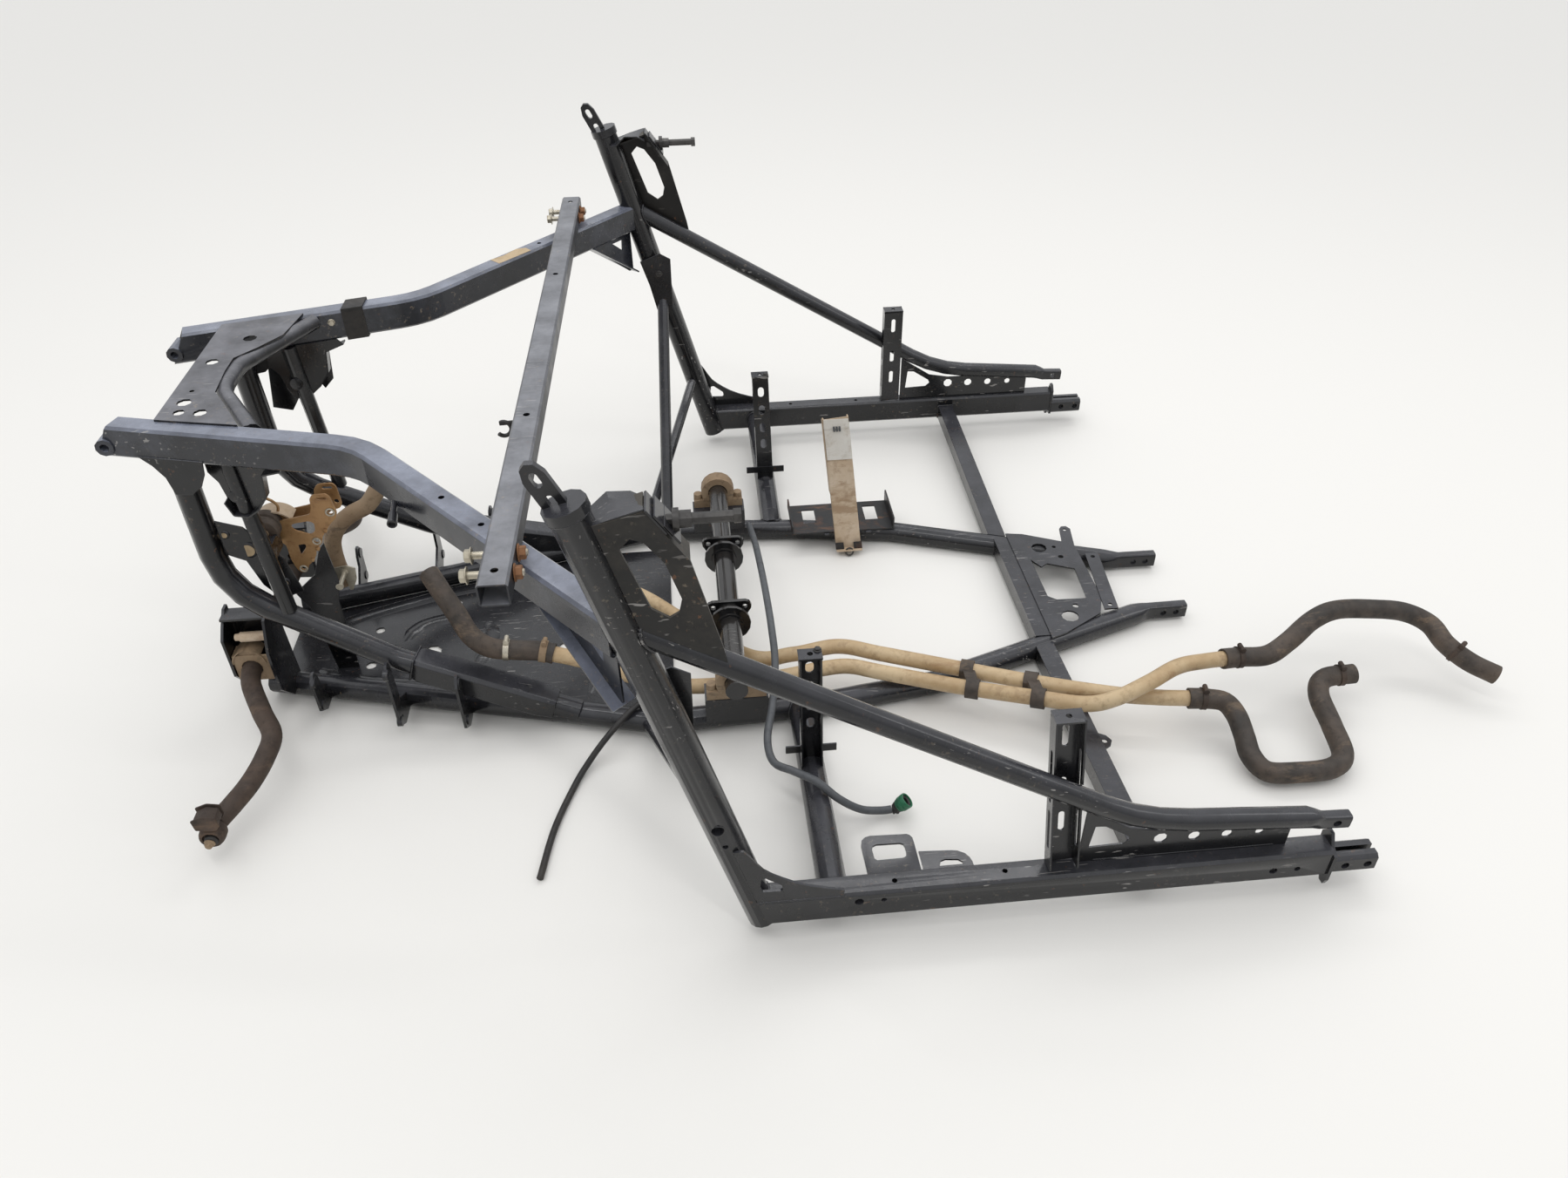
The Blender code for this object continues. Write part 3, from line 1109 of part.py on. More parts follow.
def build_bar_clamp(word, side):
    """Clamp block around the bar, between the two rear plates."""
    y = side * 0.150
    bm = bmesh.new()
    block(bm, (-0.8270, y - 0.015, 0.076), (-0.7590, y + 0.015, 0.130))
    ob = new_object("bar_clamp_" + word, bm, TAN_CAST, smooth=False)
    boolean(ob, helper("bar_clamp_ridge_" + word, rod, (BAR_X, y - 0.012, BAR_Z + 0.012),
                       (BAR_X, y + 0.012, BAR_Z + 0.012), 0.0240, 12), 'UNION')
    return boolean(ob, helper("bar_clamp_bore_" + word, rod, (BAR_X, y - 0.04, BAR_Z), (BAR_X, y + 0.04, BAR_Z),
                              BAR_R + 0.0008, 12))


def build_end_link():
    """Ball-joint end of the drop link, with its stud, at the bar's right tip."""
    pivot = Vector((-0.789, -0.4715, 0.048))
    bm = bmesh.new()
    rod(bm, pivot + Vector((0.0, 0.0090, 0.0)), pivot + Vector((0.0, -0.018, 0.0)), 0.0190, 12)
    ob = new_object("end_link", bm, RUST)
    boolean(ob, helper("end_link_stud", rod, pivot + Vector((0.0, -0.004, -0.008)),
                       pivot + Vector((-0.012, -0.036, -0.014)), 0.0080, 10), 'UNION')
    boolean(ob, helper("end_link_nut", rod, pivot + Vector((-0.006, -0.020, -0.0110)),
                       pivot + Vector((-0.009, -0.030, -0.0130)), 0.0125, 6), 'UNION')
    boolean(ob, helper("end_link_eye", rod, pivot + Vector((0.0, -0.006, 0.004)),
                       pivot + Vector((0.004, -0.008, 0.034)), 0.0110, 10), 'UNION')
    shift = Vector((pivot.x - CENTRE_X, pivot.y, pivot.z))
    for vert in ob.data.vertices:
        vert.co -= shift
    ob.location = shift
    return ob


build_anti_roll_bar()
for word, side in SIDES:
    build_bar_clamp(word, side)
build_end_link()


# ---------------------------------------------------------------- zinc bracket by the rear post
def build_zinc_bracket():
    """Two windowed plates joined by a bolt and a round rubber mount."""
    outline = [(-0.727, 0.339), (-0.719, 0.357), (-0.700, 0.371), (-0.660, 0.376), (-0.640, 0.398), (-0.634, 0.418),
               (-0.618, 0.426), (-0.602, 0.423), (-0.594, 0.392), (-0.606, 0.366), (-0.629, 0.343), (-0.642, 0.316),
               (-0.664, 0.284), (-0.681, 0.262), (-0.697, 0.272), (-0.700, 0.304), (-0.718, 0.320)]
    windows = [[(-0.693, 0.345), (-0.668, 0.349), (-0.664, 0.338), (-0.690, 0.331)],
               slot(-0.626, 0.400, -0.612, 0.404, 0.0055), hole(-0.612, 0.378, 0.0050),
               [(-0.688, 0.312), (-0.668, 0.318), (-0.676, 0.296), (-0.688, 0.290)]]
    bm = bmesh.new()
    slab(bm, [outline] + windows, 0.003, lambda u, v, w: Vector((u, -0.128 + w, v)))
    ob = new_object("zinc_bracket", bm, ZINC, smooth=False)

    def back(bm):
        slab(bm, [[(u + 0.004, v + 0.004) for u, v in outline[:12]]], 0.003,
             lambda u, v, w: Vector((u, -0.088 + w, v)))

    boolean(ob, helper("zinc_back", back), 'UNION')
    boolean(ob, helper("zinc_bolt", rod, (-0.712, -0.137, 0.340), (-0.712, -0.082, 0.340), 0.0085, 12), 'UNION')
    boolean(ob, helper("zinc_mount", rod, (-0.640, -0.1275, 0.360), (-0.640, -0.0885, 0.360), 0.0120, 10), 'UNION')
    return ob


build_zinc_bracket()

# ---------------------------------------------------------------- loose lines
FUEL_ROUTE = [(0.057, 0.204, 0.078), (0.061, 0.100, 0.110), (0.063, -0.016, 0.138), (0.065, -0.113, 0.148),
              (0.067, -0.203, 0.140), (0.067, -0.262, 0.113), (0.056, -0.329, 0.085), (0.042, -0.395, 0.074),
              (0.047, -0.450, 0.077), (0.075, -0.476, 0.081), (0.107, -0.498, 0.078), (0.140, -0.513, 0.052),
              (0.174, -0.512, 0.024), (0.206, -0.509, 0.0140), (0.2225, -0.508, 0.0138)]
VENT_ROUTE = [(-0.138, -0.240, 0.0460), (-0.154, -0.259, 0.0500), (-0.173, -0.280, 0.0515), (-0.199, -0.306, 0.0420),
              (-0.223, -0.328, 0.0270), (-0.245, -0.354, 0.0130), (-0.266, -0.395, 0.0060), (-0.293, -0.482, 0.0056),
              (-0.309, -0.577, 0.0056)]


def build_line(name, route, radius, spacing):
    points = smooth_curve(route, spacing)
    curve = bpy.data.curves.new(name, 'CURVE')
    curve.dimensions = '3D'
    curve.bevel_depth = radius
    curve.bevel_resolution = 2
    curve.use_fill_caps = True
    spline = curve.splines.new('POLY')
    spline.points.add(len(points) - 1)
    for slot_point, p in zip(spline.points, points):
        slot_point.co = (p.x - CENTRE_X, p.y, p.z, 1.0)
    curve.materials.append(material(name + "_" + LINE[0], *LINE[1:]))
    ob = bpy.data.objects.new(name, curve)
    bpy.context.scene.collection.objects.link(ob)
    return ob


build_line("fuel_hose", FUEL_ROUTE, FUEL_R, 0.032)
build_line("vent_hose", VENT_ROUTE, VENT_R, 0.028)


def build_quick_connector():
    """Quick connector on the fuel hose's end: a short elbow and a green socket that points up and forward."""
    start = Vector((0.2225 + 4.0 * GAP, -0.508, 0.0138))
    bm = bmesh.new()
    rod(bm, start, start + Vector((0.010, -0.0004, 0.0005)), 0.0085, 12)
    ob = new_object("quick_connector", bm, GREEN)
    base = start + Vector((0.0070, -0.0005, 0.0040))
    along = Vector((0.707, -0.040, 0.706)).normalized()
    boolean(ob, helper("connector_body", rod, base, base + along * 0.0225, 0.0125, 12), 'UNION')
    return boolean(ob, helper("connector_bore", rod, base + along * 0.010, base + along * 0.040, 0.0080, 12))


build_quick_connector()
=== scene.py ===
from math import atan2, cos, pi, radians, sin, sqrt, tau

import bmesh
import bpy
from mathutils import Matrix, Vector
from mathutils.geometry import tessellate_polygon


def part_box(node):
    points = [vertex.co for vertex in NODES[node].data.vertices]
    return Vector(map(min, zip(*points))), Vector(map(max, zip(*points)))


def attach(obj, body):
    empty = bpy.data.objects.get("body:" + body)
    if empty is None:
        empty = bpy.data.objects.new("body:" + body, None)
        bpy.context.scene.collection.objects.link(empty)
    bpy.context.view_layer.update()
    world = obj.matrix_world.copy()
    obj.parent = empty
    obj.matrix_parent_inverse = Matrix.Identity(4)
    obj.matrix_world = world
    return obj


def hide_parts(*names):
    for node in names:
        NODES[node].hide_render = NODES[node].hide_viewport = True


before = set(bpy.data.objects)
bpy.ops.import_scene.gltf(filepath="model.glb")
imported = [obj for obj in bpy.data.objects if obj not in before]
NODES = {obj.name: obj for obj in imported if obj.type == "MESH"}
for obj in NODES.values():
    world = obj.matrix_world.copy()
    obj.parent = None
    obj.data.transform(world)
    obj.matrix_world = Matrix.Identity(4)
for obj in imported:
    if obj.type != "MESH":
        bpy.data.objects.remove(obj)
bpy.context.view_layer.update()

CX = 0.19792               # layout x of the origin: the routes below are in the layout's own x
SIDES = (("right", -1.0), ("left", 1.0))
UP = Vector((0.0, 0.0, 1.0))


def at(x, y, z):
    """A point of the layout, whose x starts at the pillars' feet, in the shared frame."""
    return Vector((x - CX, y, z))


def placed(name, data):
    """A new object, linked into the scene."""
    piece = bpy.data.objects.new(name, data)
    bpy.context.scene.collection.objects.link(piece)
    return piece


def set_inputs(node, values):
    for name, value in values.items():
        node.inputs[name].default_value = value


# ---------------- camera
EYE = Vector((-0.24129, -1.67804, 1.33894))
RIGHT = Vector((0.99513134, -0.09788476, -0.01149715))
DOWN = Vector((-0.06811408, -0.59873699, -0.79804416))
AHEAD = Vector((0.07123259, 0.79494188, -0.60248928))
bpy.context.scene.view_settings.view_transform = 'Standard'
camera_data = bpy.data.cameras.new("camera")
camera_data.sensor_width = 36.0
camera_data.lens = 26.06
camera = placed("camera", camera_data)
turn = Matrix((RIGHT, -DOWN, -AHEAD)).transposed()
camera.matrix_world = Matrix.Translation(EYE) @ turn.to_4x4()
bpy.context.scene.camera = camera


# ---------------- material helpers
class Graph:
    """Short names for the nodes that every finish uses."""

    def __init__(self, name):
        self.material = bpy.data.materials.new(name)
        self.material.use_nodes = True
        self.tree = self.material.node_tree
        self.bsdf = self.tree.nodes["Principled BSDF"]
        self.coords = self.tree.nodes.new("ShaderNodeTexCoord").outputs["Object"]

    def link(self, a, b):
        self.tree.links.new(a, b)

    def noise(self, scale, detail=4.0, rough=0.55, stretch=None):
        node = self.tree.nodes.new("ShaderNodeTexNoise")
        set_inputs(node, {"Scale": scale, "Detail": detail, "Roughness": rough})
        self.link(self.stretched(stretch), node.inputs["Vector"])
        return node.outputs["Fac"]

    def stretched(self, stretch):
        if stretch is None:
            return self.coords
        node = self.tree.nodes.new("ShaderNodeMapping")
        node.inputs["Scale"].default_value = stretch
        self.link(self.coords, node.inputs["Vector"])
        return node.outputs["Vector"]

    def band(self, value, low, high, to_low=0.0, to_high=1.0):
        node = self.tree.nodes.new("ShaderNodeMapRange")
        set_inputs(node, {"From Min": low, "From Max": high, "To Min": to_low, "To Max": to_high})
        self.link(value, node.inputs["Value"])
        return node.outputs["Result"]

    def combine(self, kind, a, b):
        node = self.tree.nodes.new("ShaderNodeMath")
        node.operation = kind
        node.use_clamp = True
        for socket, value in zip(node.inputs, (a, b)):
            if isinstance(value, (int, float)):
                socket.default_value = value
            else:
                self.link(value, socket)
        return node.outputs["Value"]

    def times(self, a, b):
        return self.combine('MULTIPLY', a, b)

    def mix(self, factor, a, b):
        node = self.tree.nodes.new("ShaderNodeMix")
        node.data_type = 'RGBA'
        self.link(factor, node.inputs["Factor"])
        for socket, value in ((node.inputs[6], a), (node.inputs[7], b)):
            if isinstance(value, tuple):
                socket.default_value = (*value, 1.0)
            else:
                self.link(value, socket)
        return node.outputs[2]

    def upward(self):
        """How much the surface faces up, 0 to 1."""
        geometry = self.tree.nodes.new("ShaderNodeNewGeometry")
        split = self.tree.nodes.new("ShaderNodeSeparateXYZ")
        self.link(geometry.outputs["Normal"], split.inputs["Vector"])
        return self.band(split.outputs["Z"], 0.1, 1.0)

    def bump(self, height, strength, distance):
        node = self.tree.nodes.new("ShaderNodeBump")
        set_inputs(node, {"Strength": strength, "Distance": distance})
        self.link(height, node.inputs["Height"])
        self.link(node.outputs["Normal"], self.bsdf.inputs["Normal"])

    def finish(self, colour, roughness, metallic=0.0, coat=0.0):
        self.link(colour, self.bsdf.inputs["Base Color"])
        self.link(roughness, self.bsdf.inputs["Roughness"])
        self.bsdf.inputs["Metallic"].default_value = metallic
        if coat:
            set_inputs(self.bsdf, {"Coat Weight": coat, "Coat Roughness": 0.14})
        return self.material


def coat_finish(name, base, worn, dust_and_sheen_tone, dust_and_sheen_amount, rusty, rough, gloss=0.0, film=0.3):
    """Powder coat: mottled black, dust and a painted sheen on what faces up, a dust film, mud spots, rust
    specks and scratches.
    """
    g = Graph(name)
    mottle = g.band(g.noise(9.0, 5.0, 0.6), 0.35, 0.7)
    colour = g.mix(mottle, base, worn)
    # Upward faces are lightened here: partly dust, partly a painted sheen standing in for the bright
    # surroundings reflected in the coat.
    top_dust_and_sheen = g.times(g.upward(), g.band(g.noise(13.0, 7.0, 0.68), 0.3, 0.66, 0.35, 1.0))
    top_dust_and_sheen = g.times(top_dust_and_sheen, dust_and_sheen_amount)
    veil = g.times(g.band(g.noise(6.0, 7.0, 0.7), 0.5, 0.75), dust_and_sheen_amount * film)
    colour = g.mix(g.combine('ADD', top_dust_and_sheen, veil), colour, dust_and_sheen_tone)
    spots = g.times(g.band(g.noise(120.0, 3.0, 0.6), 0.62, 0.72), g.band(g.noise(5.0, 3.0), 0.45, 0.6))
    colour = g.mix(g.times(spots, 0.35 * dust_and_sheen_amount + 0.1), colour, (0.34, 0.27, 0.19))
    specks = g.times(g.band(g.noise(75.0, 4.0, 0.7), 0.655, 0.7), rusty)
    colour = g.mix(specks, colour, (0.2, 0.085, 0.035))
    lines = g.band(g.noise(30.0, 2.0, 0.5, (1.0, 14.0, 5.0)), 0.665, 0.7)
    lines = g.times(lines, g.band(g.noise(4.0, 2.0), 0.5, 0.62))
    colour = g.mix(g.times(lines, 0.5), colour, (0.42, 0.4, 0.38))
    roughness = g.band(g.noise(14.0, 5.0, 0.6), 0.3, 0.75, rough - 0.08, rough + 0.16)
    g.bsdf.inputs["Specular IOR Level"].default_value = 0.36
    g.bump(g.noise(420.0, 2.0, 0.5), 0.14, 0.0004)
    return g.finish(colour, roughness, 0.0, gloss)


def dirt_finish(name, base, second, dark, rough, metallic=0.0, grain=60.0, wear=None, depth=0.0006):
    """Dirty pipe, casting, rubber or rusty steel: two tones, dark scuffs, a painted lighter tone on what
    faces up and a gritty surface.
    """
    g = Graph(name)
    colour = g.mix(g.band(g.noise(11.0, 6.0, 0.65), 0.36, 0.66), base, second)
    colour = g.mix(g.times(g.band(g.noise(grain, 5.0, 0.7), 0.52, 0.7), 0.55), colour, dark)
    patches = g.times(g.band(g.noise(7.0, 7.0, 0.75, (1.0, 3.0, 3.0)), 0.56, 0.66), 0.8)
    colour = g.mix(patches, colour, wear or dark)
    # Painted top light: what faces up gets a lighter copy of the base colour.
    painted_top_light = g.times(g.upward(), 0.18)
    colour = g.mix(painted_top_light, colour, tuple(min(1.0, c * 1.5 + 0.02) for c in base))
    roughness = g.band(g.noise(grain * 0.5, 4.0), 0.3, 0.7, rough - 0.12, min(1.0, rough + 0.1))
    g.bump(g.noise(grain * 5.0, 4.0, 0.65), 0.35, depth)
    return g.finish(colour, roughness, metallic)


# The dust tones below are bluish grey. On upward faces they are partly real dust and partly a painted sheen
# of the bright surroundings.
BLACK = coat_finish("black_coat", (0.0034, 0.0036, 0.0042), (0.0075, 0.0075, 0.0088), (0.13, 0.13, 0.15),
                    0.34, 0.25, 0.22, 0.3)
MUDDY = coat_finish("muddy_coat", (0.005, 0.0048, 0.0046), (0.012, 0.0105, 0.009), (0.14, 0.118, 0.088),
                    0.5, 0.45, 0.42, 0.0, 0.45)
DUSTY_SHEEN = coat_finish("dusty_sheen_coat", (0.0045, 0.0048, 0.0058), (0.01, 0.01, 0.012), (0.225, 0.225, 0.25), 0.75,
                    0.3, 0.34, 0.15)
CLEAN = coat_finish("shaft_coat", (0.0035, 0.0035, 0.0042), (0.007, 0.007, 0.008), (0.12, 0.105, 0.09), 0.2,
                    0.25, 0.18, 0.6)
RAIL = coat_finish("rail_coat", (0.008, 0.0088, 0.012), (0.02, 0.022, 0.029), (0.265, 0.285, 0.355), 0.9,
                   0.22, 0.27, 0.32, 0.22)
BAR = coat_finish("bar_coat", (0.016, 0.017, 0.021), (0.026, 0.027, 0.032), (0.275, 0.28, 0.305), 0.85,
                  0.12, 0.36, 0.1, 0.1)
SKID = coat_finish("skid_coat", (0.0036, 0.0038, 0.0046), (0.008, 0.008, 0.0095), (0.085, 0.085, 0.096),
                   0.26, 0.3, 0.2, 0.35)
PIPE = dirt_finish("tan_pipe", (0.385, 0.262, 0.135), (0.56, 0.43, 0.265), (0.165, 0.092, 0.042), 0.48,
                   grain=45.0, wear=(0.29, 0.165, 0.075))
CAST = dirt_finish("tan_casting", (0.235, 0.16, 0.095), (0.32, 0.235, 0.15), (0.075, 0.046, 0.026), 0.72,
                   0.1, grain=70.0, wear=(0.07, 0.052, 0.04))
ZINC = dirt_finish("zinc_plate", (0.275, 0.15, 0.062), (0.375, 0.225, 0.1), (0.15, 0.075, 0.03), 0.4, 0.45,
                   grain=90.0, wear=(0.21, 0.105, 0.045), depth=0.0002)
RUST = dirt_finish("rusty_bar", (0.034, 0.024, 0.019), (0.08, 0.052, 0.036), (0.014, 0.011, 0.01), 0.72,
                   0.15, grain=80.0, wear=(0.115, 0.072, 0.045))
TRAY = dirt_finish("rusty_tray", (0.0065, 0.0068, 0.008), (0.014, 0.013, 0.013), (0.16, 0.06, 0.022), 0.42,
                   0.1, grain=26.0, wear=(0.21, 0.088, 0.034))
STEEL = dirt_finish("plated_steel", (0.4, 0.36, 0.28), (0.56, 0.52, 0.44), (0.17, 0.125, 0.07), 0.36, 0.7,
                    grain=110.0, depth=0.0002)
DARK_STEEL = dirt_finish("dark_steel", (0.045, 0.043, 0.042), (0.085, 0.08, 0.075), (0.018, 0.016, 0.015),
                         0.42, 0.6, grain=110.0, depth=0.0002)
STRAP = dirt_finish("tan_strap", (0.44, 0.325, 0.215), (0.57, 0.47, 0.36), (0.24, 0.15, 0.085), 0.6, 0.1,
                    grain=40.0, wear=(0.29, 0.19, 0.11))
PALE = dirt_finish("pale_strap", (0.58, 0.55, 0.5), (0.7, 0.68, 0.64), (0.36, 0.3, 0.22), 0.55, 0.1,
                   grain=40.0, wear=(0.46, 0.4, 0.32))
BUSH = dirt_finish("cracked_rubber", (0.01, 0.009, 0.0085), (0.022, 0.017, 0.013), (0.005, 0.005, 0.005),
                   0.6, grain=120.0)
NUT = dirt_finish("rusty_nut", (0.26, 0.125, 0.055), (0.2, 0.085, 0.036), (0.08, 0.038, 0.02), 0.68, 0.3,
                  grain=120.0)
RUBBER = dirt_finish("dirty_rubber", (0.026, 0.0205, 0.0165), (0.09, 0.064, 0.046), (0.01, 0.009, 0.0085),
                     0.66, grain=90.0, wear=(0.16, 0.11, 0.07), depth=0.0005)
LINE = dirt_finish("line_rubber", (0.062, 0.067, 0.074), (0.085, 0.089, 0.095), (0.03, 0.032, 0.036), 0.5,
                   grain=150.0, depth=0.0002)
DARK_LINE = dirt_finish("vent_rubber", (0.012, 0.011, 0.011), (0.026, 0.021, 0.017), (0.006, 0.006, 0.006),
                        0.55, grain=150.0, depth=0.0002)
GREEN = dirt_finish("green_plastic", (0.01, 0.105, 0.048), (0.02, 0.16, 0.075), (0.01, 0.03, 0.02), 0.4,
                    grain=60.0, depth=0.0002)
LABEL = dirt_finish("blank_label", (0.42, 0.31, 0.18), (0.5, 0.38, 0.24), (0.22, 0.15, 0.08), 0.6,
                    grain=50.0)


# ---------------- shape helpers
def add(name, bm, paint, body="frame", smooth=35.0, bevel=0.0, stands_for=(), slot_name=None):
    bmesh.ops.recalc_face_normals(bm, faces=bm.faces)
    mesh = bpy.data.meshes.new(name)
    bm.to_mesh(mesh)
    bm.free()
    piece = placed(name, mesh)
    mesh.materials.append(paint)
    mesh.shade_smooth()
    mesh.set_sharp_from_angle(angle=radians(smooth))
    if bevel:
        soften(piece, bevel)
    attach(piece, body)
    if stands_for:
        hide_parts(*stands_for)
    return piece


def made(name, paint, shape, *details, **finish):
    """A piece of a single shape."""
    bm = bmesh.new()
    shape(bm, *details)
    return add(name, bm, paint, **finish)


def soften(piece, width):
    mod = piece.modifiers.new("edge", 'BEVEL')
    mod.width = width
    mod.segments = 2
    mod.limit_method = 'ANGLE'
    mod.angle_limit = radians(38.0)
    mod.harden_normals = True
    mod.use_clamp_overlap = True


def mm(points):
    """Points written in millimetres, in metres."""
    return [tuple(round(c / 1000.0, 6) for c in p) for p in points]


def circle(count):
    """Cosine and sine of even steps round a circle."""
    return [(cos(a), sin(a)) for a in (tau * k / count for k in range(count))]


def disc(u, v, radius, count=20):
    return [(u + radius * c, v + radius * h) for c, h in circle(count)]


def rect(u0, v0, u1, v1):
    return [(u0, v0), (u1, v0), (u1, v1), (u0, v1)]


def upright(y, side=1.0):
    """Places a plate in (x, z), facing sideways at y."""
    return lambda u, v, w: at(u, side * (y + w), v)


def curve_points(route, step):
    """Points every step along a Catmull-Rom curve through the route."""
    pts = [Vector(p) for p in route]
    dense = []
    for k in range(len(pts) - 1):
        p0 = pts[k - 1] if k else pts[0] * 2.0 - pts[1]
        p3 = pts[k + 2] if k + 2 < len(pts) else pts[-1] * 2.0 - pts[-2]
        p1, p2 = pts[k], pts[k + 1]
        for i in range(24):
            t = i / 24.0
            dense.append(0.5 * (2.0 * p1 + (p2 - p0) * t + (2.0 * p0 - 5.0 * p1 + 4.0 * p2 - p3) * t * t
                                + (3.0 * p1 - p0 - 3.0 * p2 + p3) * t ** 3))
    dense.append(pts[-1])
    length = sum((b - a).length for a, b in zip(dense, dense[1:]))
    count = max(2, round(length / step))
    out, run, goal = [dense[0]], 0.0, 1
    for a, b in zip(dense, dense[1:]):
        d = (b - a).length
        while goal < count and run + d >= goal * length / count:
            out.append(a.lerp(b, (goal * length / count - run) / d))
            goal += 1
        run += d
    out.append(dense[-1])
    return out, length


def frames(path, closed=False):
    """Twist-free frames (point, side, top) along a path."""
    count = len(path)
    out = []
    side = None
    for k in range(count):
        if closed:
            tangent = (path[(k + 1) % count] - path[k - 1]).normalized()
        else:
            tangent = (path[min(k + 1, count - 1)] - path[max(k - 1, 0)]).normalized()
        if side is None:
            side = tangent.cross(Vector((0.12, 0.21, 0.97))).normalized()
        side = (side - tangent * side.dot(tangent)).normalized()
        out.append((path[k], side, tangent.cross(side)))
    return out


def skin_rings(bm, rings, closed=False):
    count = len(rings[0])
    pairs = list(zip(rings, rings[1:]))
    if closed:
        pairs.append((rings[-1], rings[0]))
    for a, b in pairs:
        for k in range(count):
            m = (k + 1) % count
            bm.faces.new((a[k], a[m], b[m], b[k]))


def pipe(bm, path, radius, sides=20, closed=False, bore=None, bulge=None):
    """Round tube along a path: radius may be bulge(i), and a bore leaves both ends open."""
    def loop(size):
        rings = []
        for i, (p, u, v) in enumerate(frames(path, closed)):
            r = size * (bulge(i) if bulge else 1.0)
            rings.append([bm.verts.new(p + (u * c + v * h) * r) for c, h in circle(sides)])
        return rings

    outer = loop(radius)
    skin_rings(bm, outer, closed)
    if closed:
        return
    if bore is None:
        bm.faces.new(outer[0])
        bm.faces.new(outer[-1])
        return
    inner = loop(bore)
    skin_rings(bm, inner)
    for a, b in ((outer[0], inner[0]), (outer[-1], inner[-1])):
        for k in range(sides):
            m = (k + 1) % sides
            bm.faces.new((a[k], a[m], b[m], b[k]))


def lathe(bm, start, direction, profile, sides=24):
    """Turned shape: profile is (distance along, radius)."""
    axis = Vector(direction).normalized()
    side = axis.orthogonal().normalized()
    top = axis.cross(side)
    rings = []
    for along, radius in profile:
        centre = Vector(start) + axis * along
        rings.append([bm.verts.new(centre + (side * c + top * h) * max(radius, 0.00005))
                      for c, h in circle(sides)])
    skin_rings(bm, rings)
    bm.faces.new(rings[0])
    bm.faces.new(rings[-1])


def plate(bm, outline, thickness, place):
    """Flat plate: outline in (u, v), place(u, v, w) gives the point."""
    low = [bm.verts.new(place(u, v, -thickness / 2.0)) for u, v in outline]
    high = [bm.verts.new(place(u, v, thickness / 2.0)) for u, v in outline]
    bm.faces.new(low)
    bm.faces.new(high)
    for k in range(len(outline)):
        m = (k + 1) % len(outline)
        bm.faces.new((low[k], low[m], high[m], high[k]))


def windowed(bm, loops, thickness, place):
    """Flat plate with windows: the first loop is its edge, the others are cut out of it."""
    points = [p for loop in loops for p in loop]
    low = [bm.verts.new(place(u, v, -thickness / 2.0)) for u, v in points]
    high = [bm.verts.new(place(u, v, thickness / 2.0)) for u, v in points]
    for a, b, c in tessellate_polygon([[Vector((u, v, 0.0)) for u, v in loop] for loop in loops]):
        bm.faces.new((low[a], low[b], low[c]))
        bm.faces.new((high[c], high[b], high[a]))
    first = 0
    for loop in loops:
        for k in range(len(loop)):
            a, b = first + k, first + (k + 1) % len(loop)
            bm.faces.new((low[a], low[b], high[b], high[a]))
        first += len(loop)


def eased(outline, radius, steps=3):
    """An outline with its corners rounded."""
    out = []
    count = len(outline)
    for k in range(count):
        a, p, b = (Vector(outline[(k + i) % count]) for i in (-1, 0, 1))
        into, away = a - p, b - p
        start = p + into.normalized() * min(radius, into.length * 0.45)
        end = p + away.normalized() * min(radius, away.length * 0.45)
        for i in range(steps + 1):
            t = i / steps
            out.append(tuple(start * (1 - t) ** 2 + p * 2 * t * (1 - t) + end * t * t))
    return out


def sheet_of(bm, edge_a, edge_b, thickness, across=4):
    """Bent sheet between two lines of the same number of points."""
    rows = []
    for a, b in zip(edge_a, edge_b):
        a, b = Vector(a), Vector(b)
        rows.append([a.lerp(b, k / across) for k in range(across + 1)])
    normal = (rows[1][0] - rows[0][0]).cross(rows[0][-1] - rows[0][0]).normalized() * thickness
    lower = [[bm.verts.new(p) for p in row] for row in rows]
    upper = [[bm.verts.new(p + normal) for p in row] for row in rows]
    for grid in (lower, upper):
        for i in range(len(rows) - 1):
            for k in range(across):
                bm.faces.new((grid[i][k], grid[i + 1][k], grid[i + 1][k + 1], grid[i][k + 1]))
    last = len(rows) - 1
    rim = [(0, k) for k in range(across)] + [(i, across) for i in range(last)]
    rim += [(last, k) for k in range(across, 0, -1)] + [(i, 0) for i in range(last, 0, -1)]
    for (i, k), (m, n) in zip(rim, rim[1:] + rim[:1]):
        bm.faces.new((lower[i][k], lower[m][n], upper[m][n], upper[i][k]))


def round_profile(radius):
    return disc(0.0, 0.0, radius, 28)


def box_profile(width, height, per_side=7):
    out = []
    corners = rect(-width / 2, -height / 2, width / 2, height / 2)
    for (u0, v0), (u1, v1) in zip(corners, corners[1:] + corners[:1]):
        out += [(u0 + (u1 - u0) * k / per_side, v0 + (v1 - v0) * k / per_side) for k in range(per_side)]
    return out


def meeting_line(profile, start, direction, centre, axis, radius):
    """Where a bar of this profile meets a round tube: the closed line that the weld follows."""
    along = Vector(direction).normalized()
    side = along.cross(UP)
    side = side.normalized() if side.length > 1e-4 else Vector((1.0, 0.0, 0.0))
    top = side.cross(along)
    axis = Vector(axis).normalized()
    out = []
    for u, v in profile:
        p = Vector(start) + side * u + top * v
        d = along - axis * along.dot(axis)
        q = (p - Vector(centre)) - axis * (p - Vector(centre)).dot(axis)
        a, b, c = d.dot(d), 2.0 * d.dot(q), q.dot(q) - radius * radius
        root = b * b - 4.0 * a * c
        if root <= 0.0:
            continue
        out.append(p + along * ((-b - sqrt(root)) / (2.0 * a)))
    return out


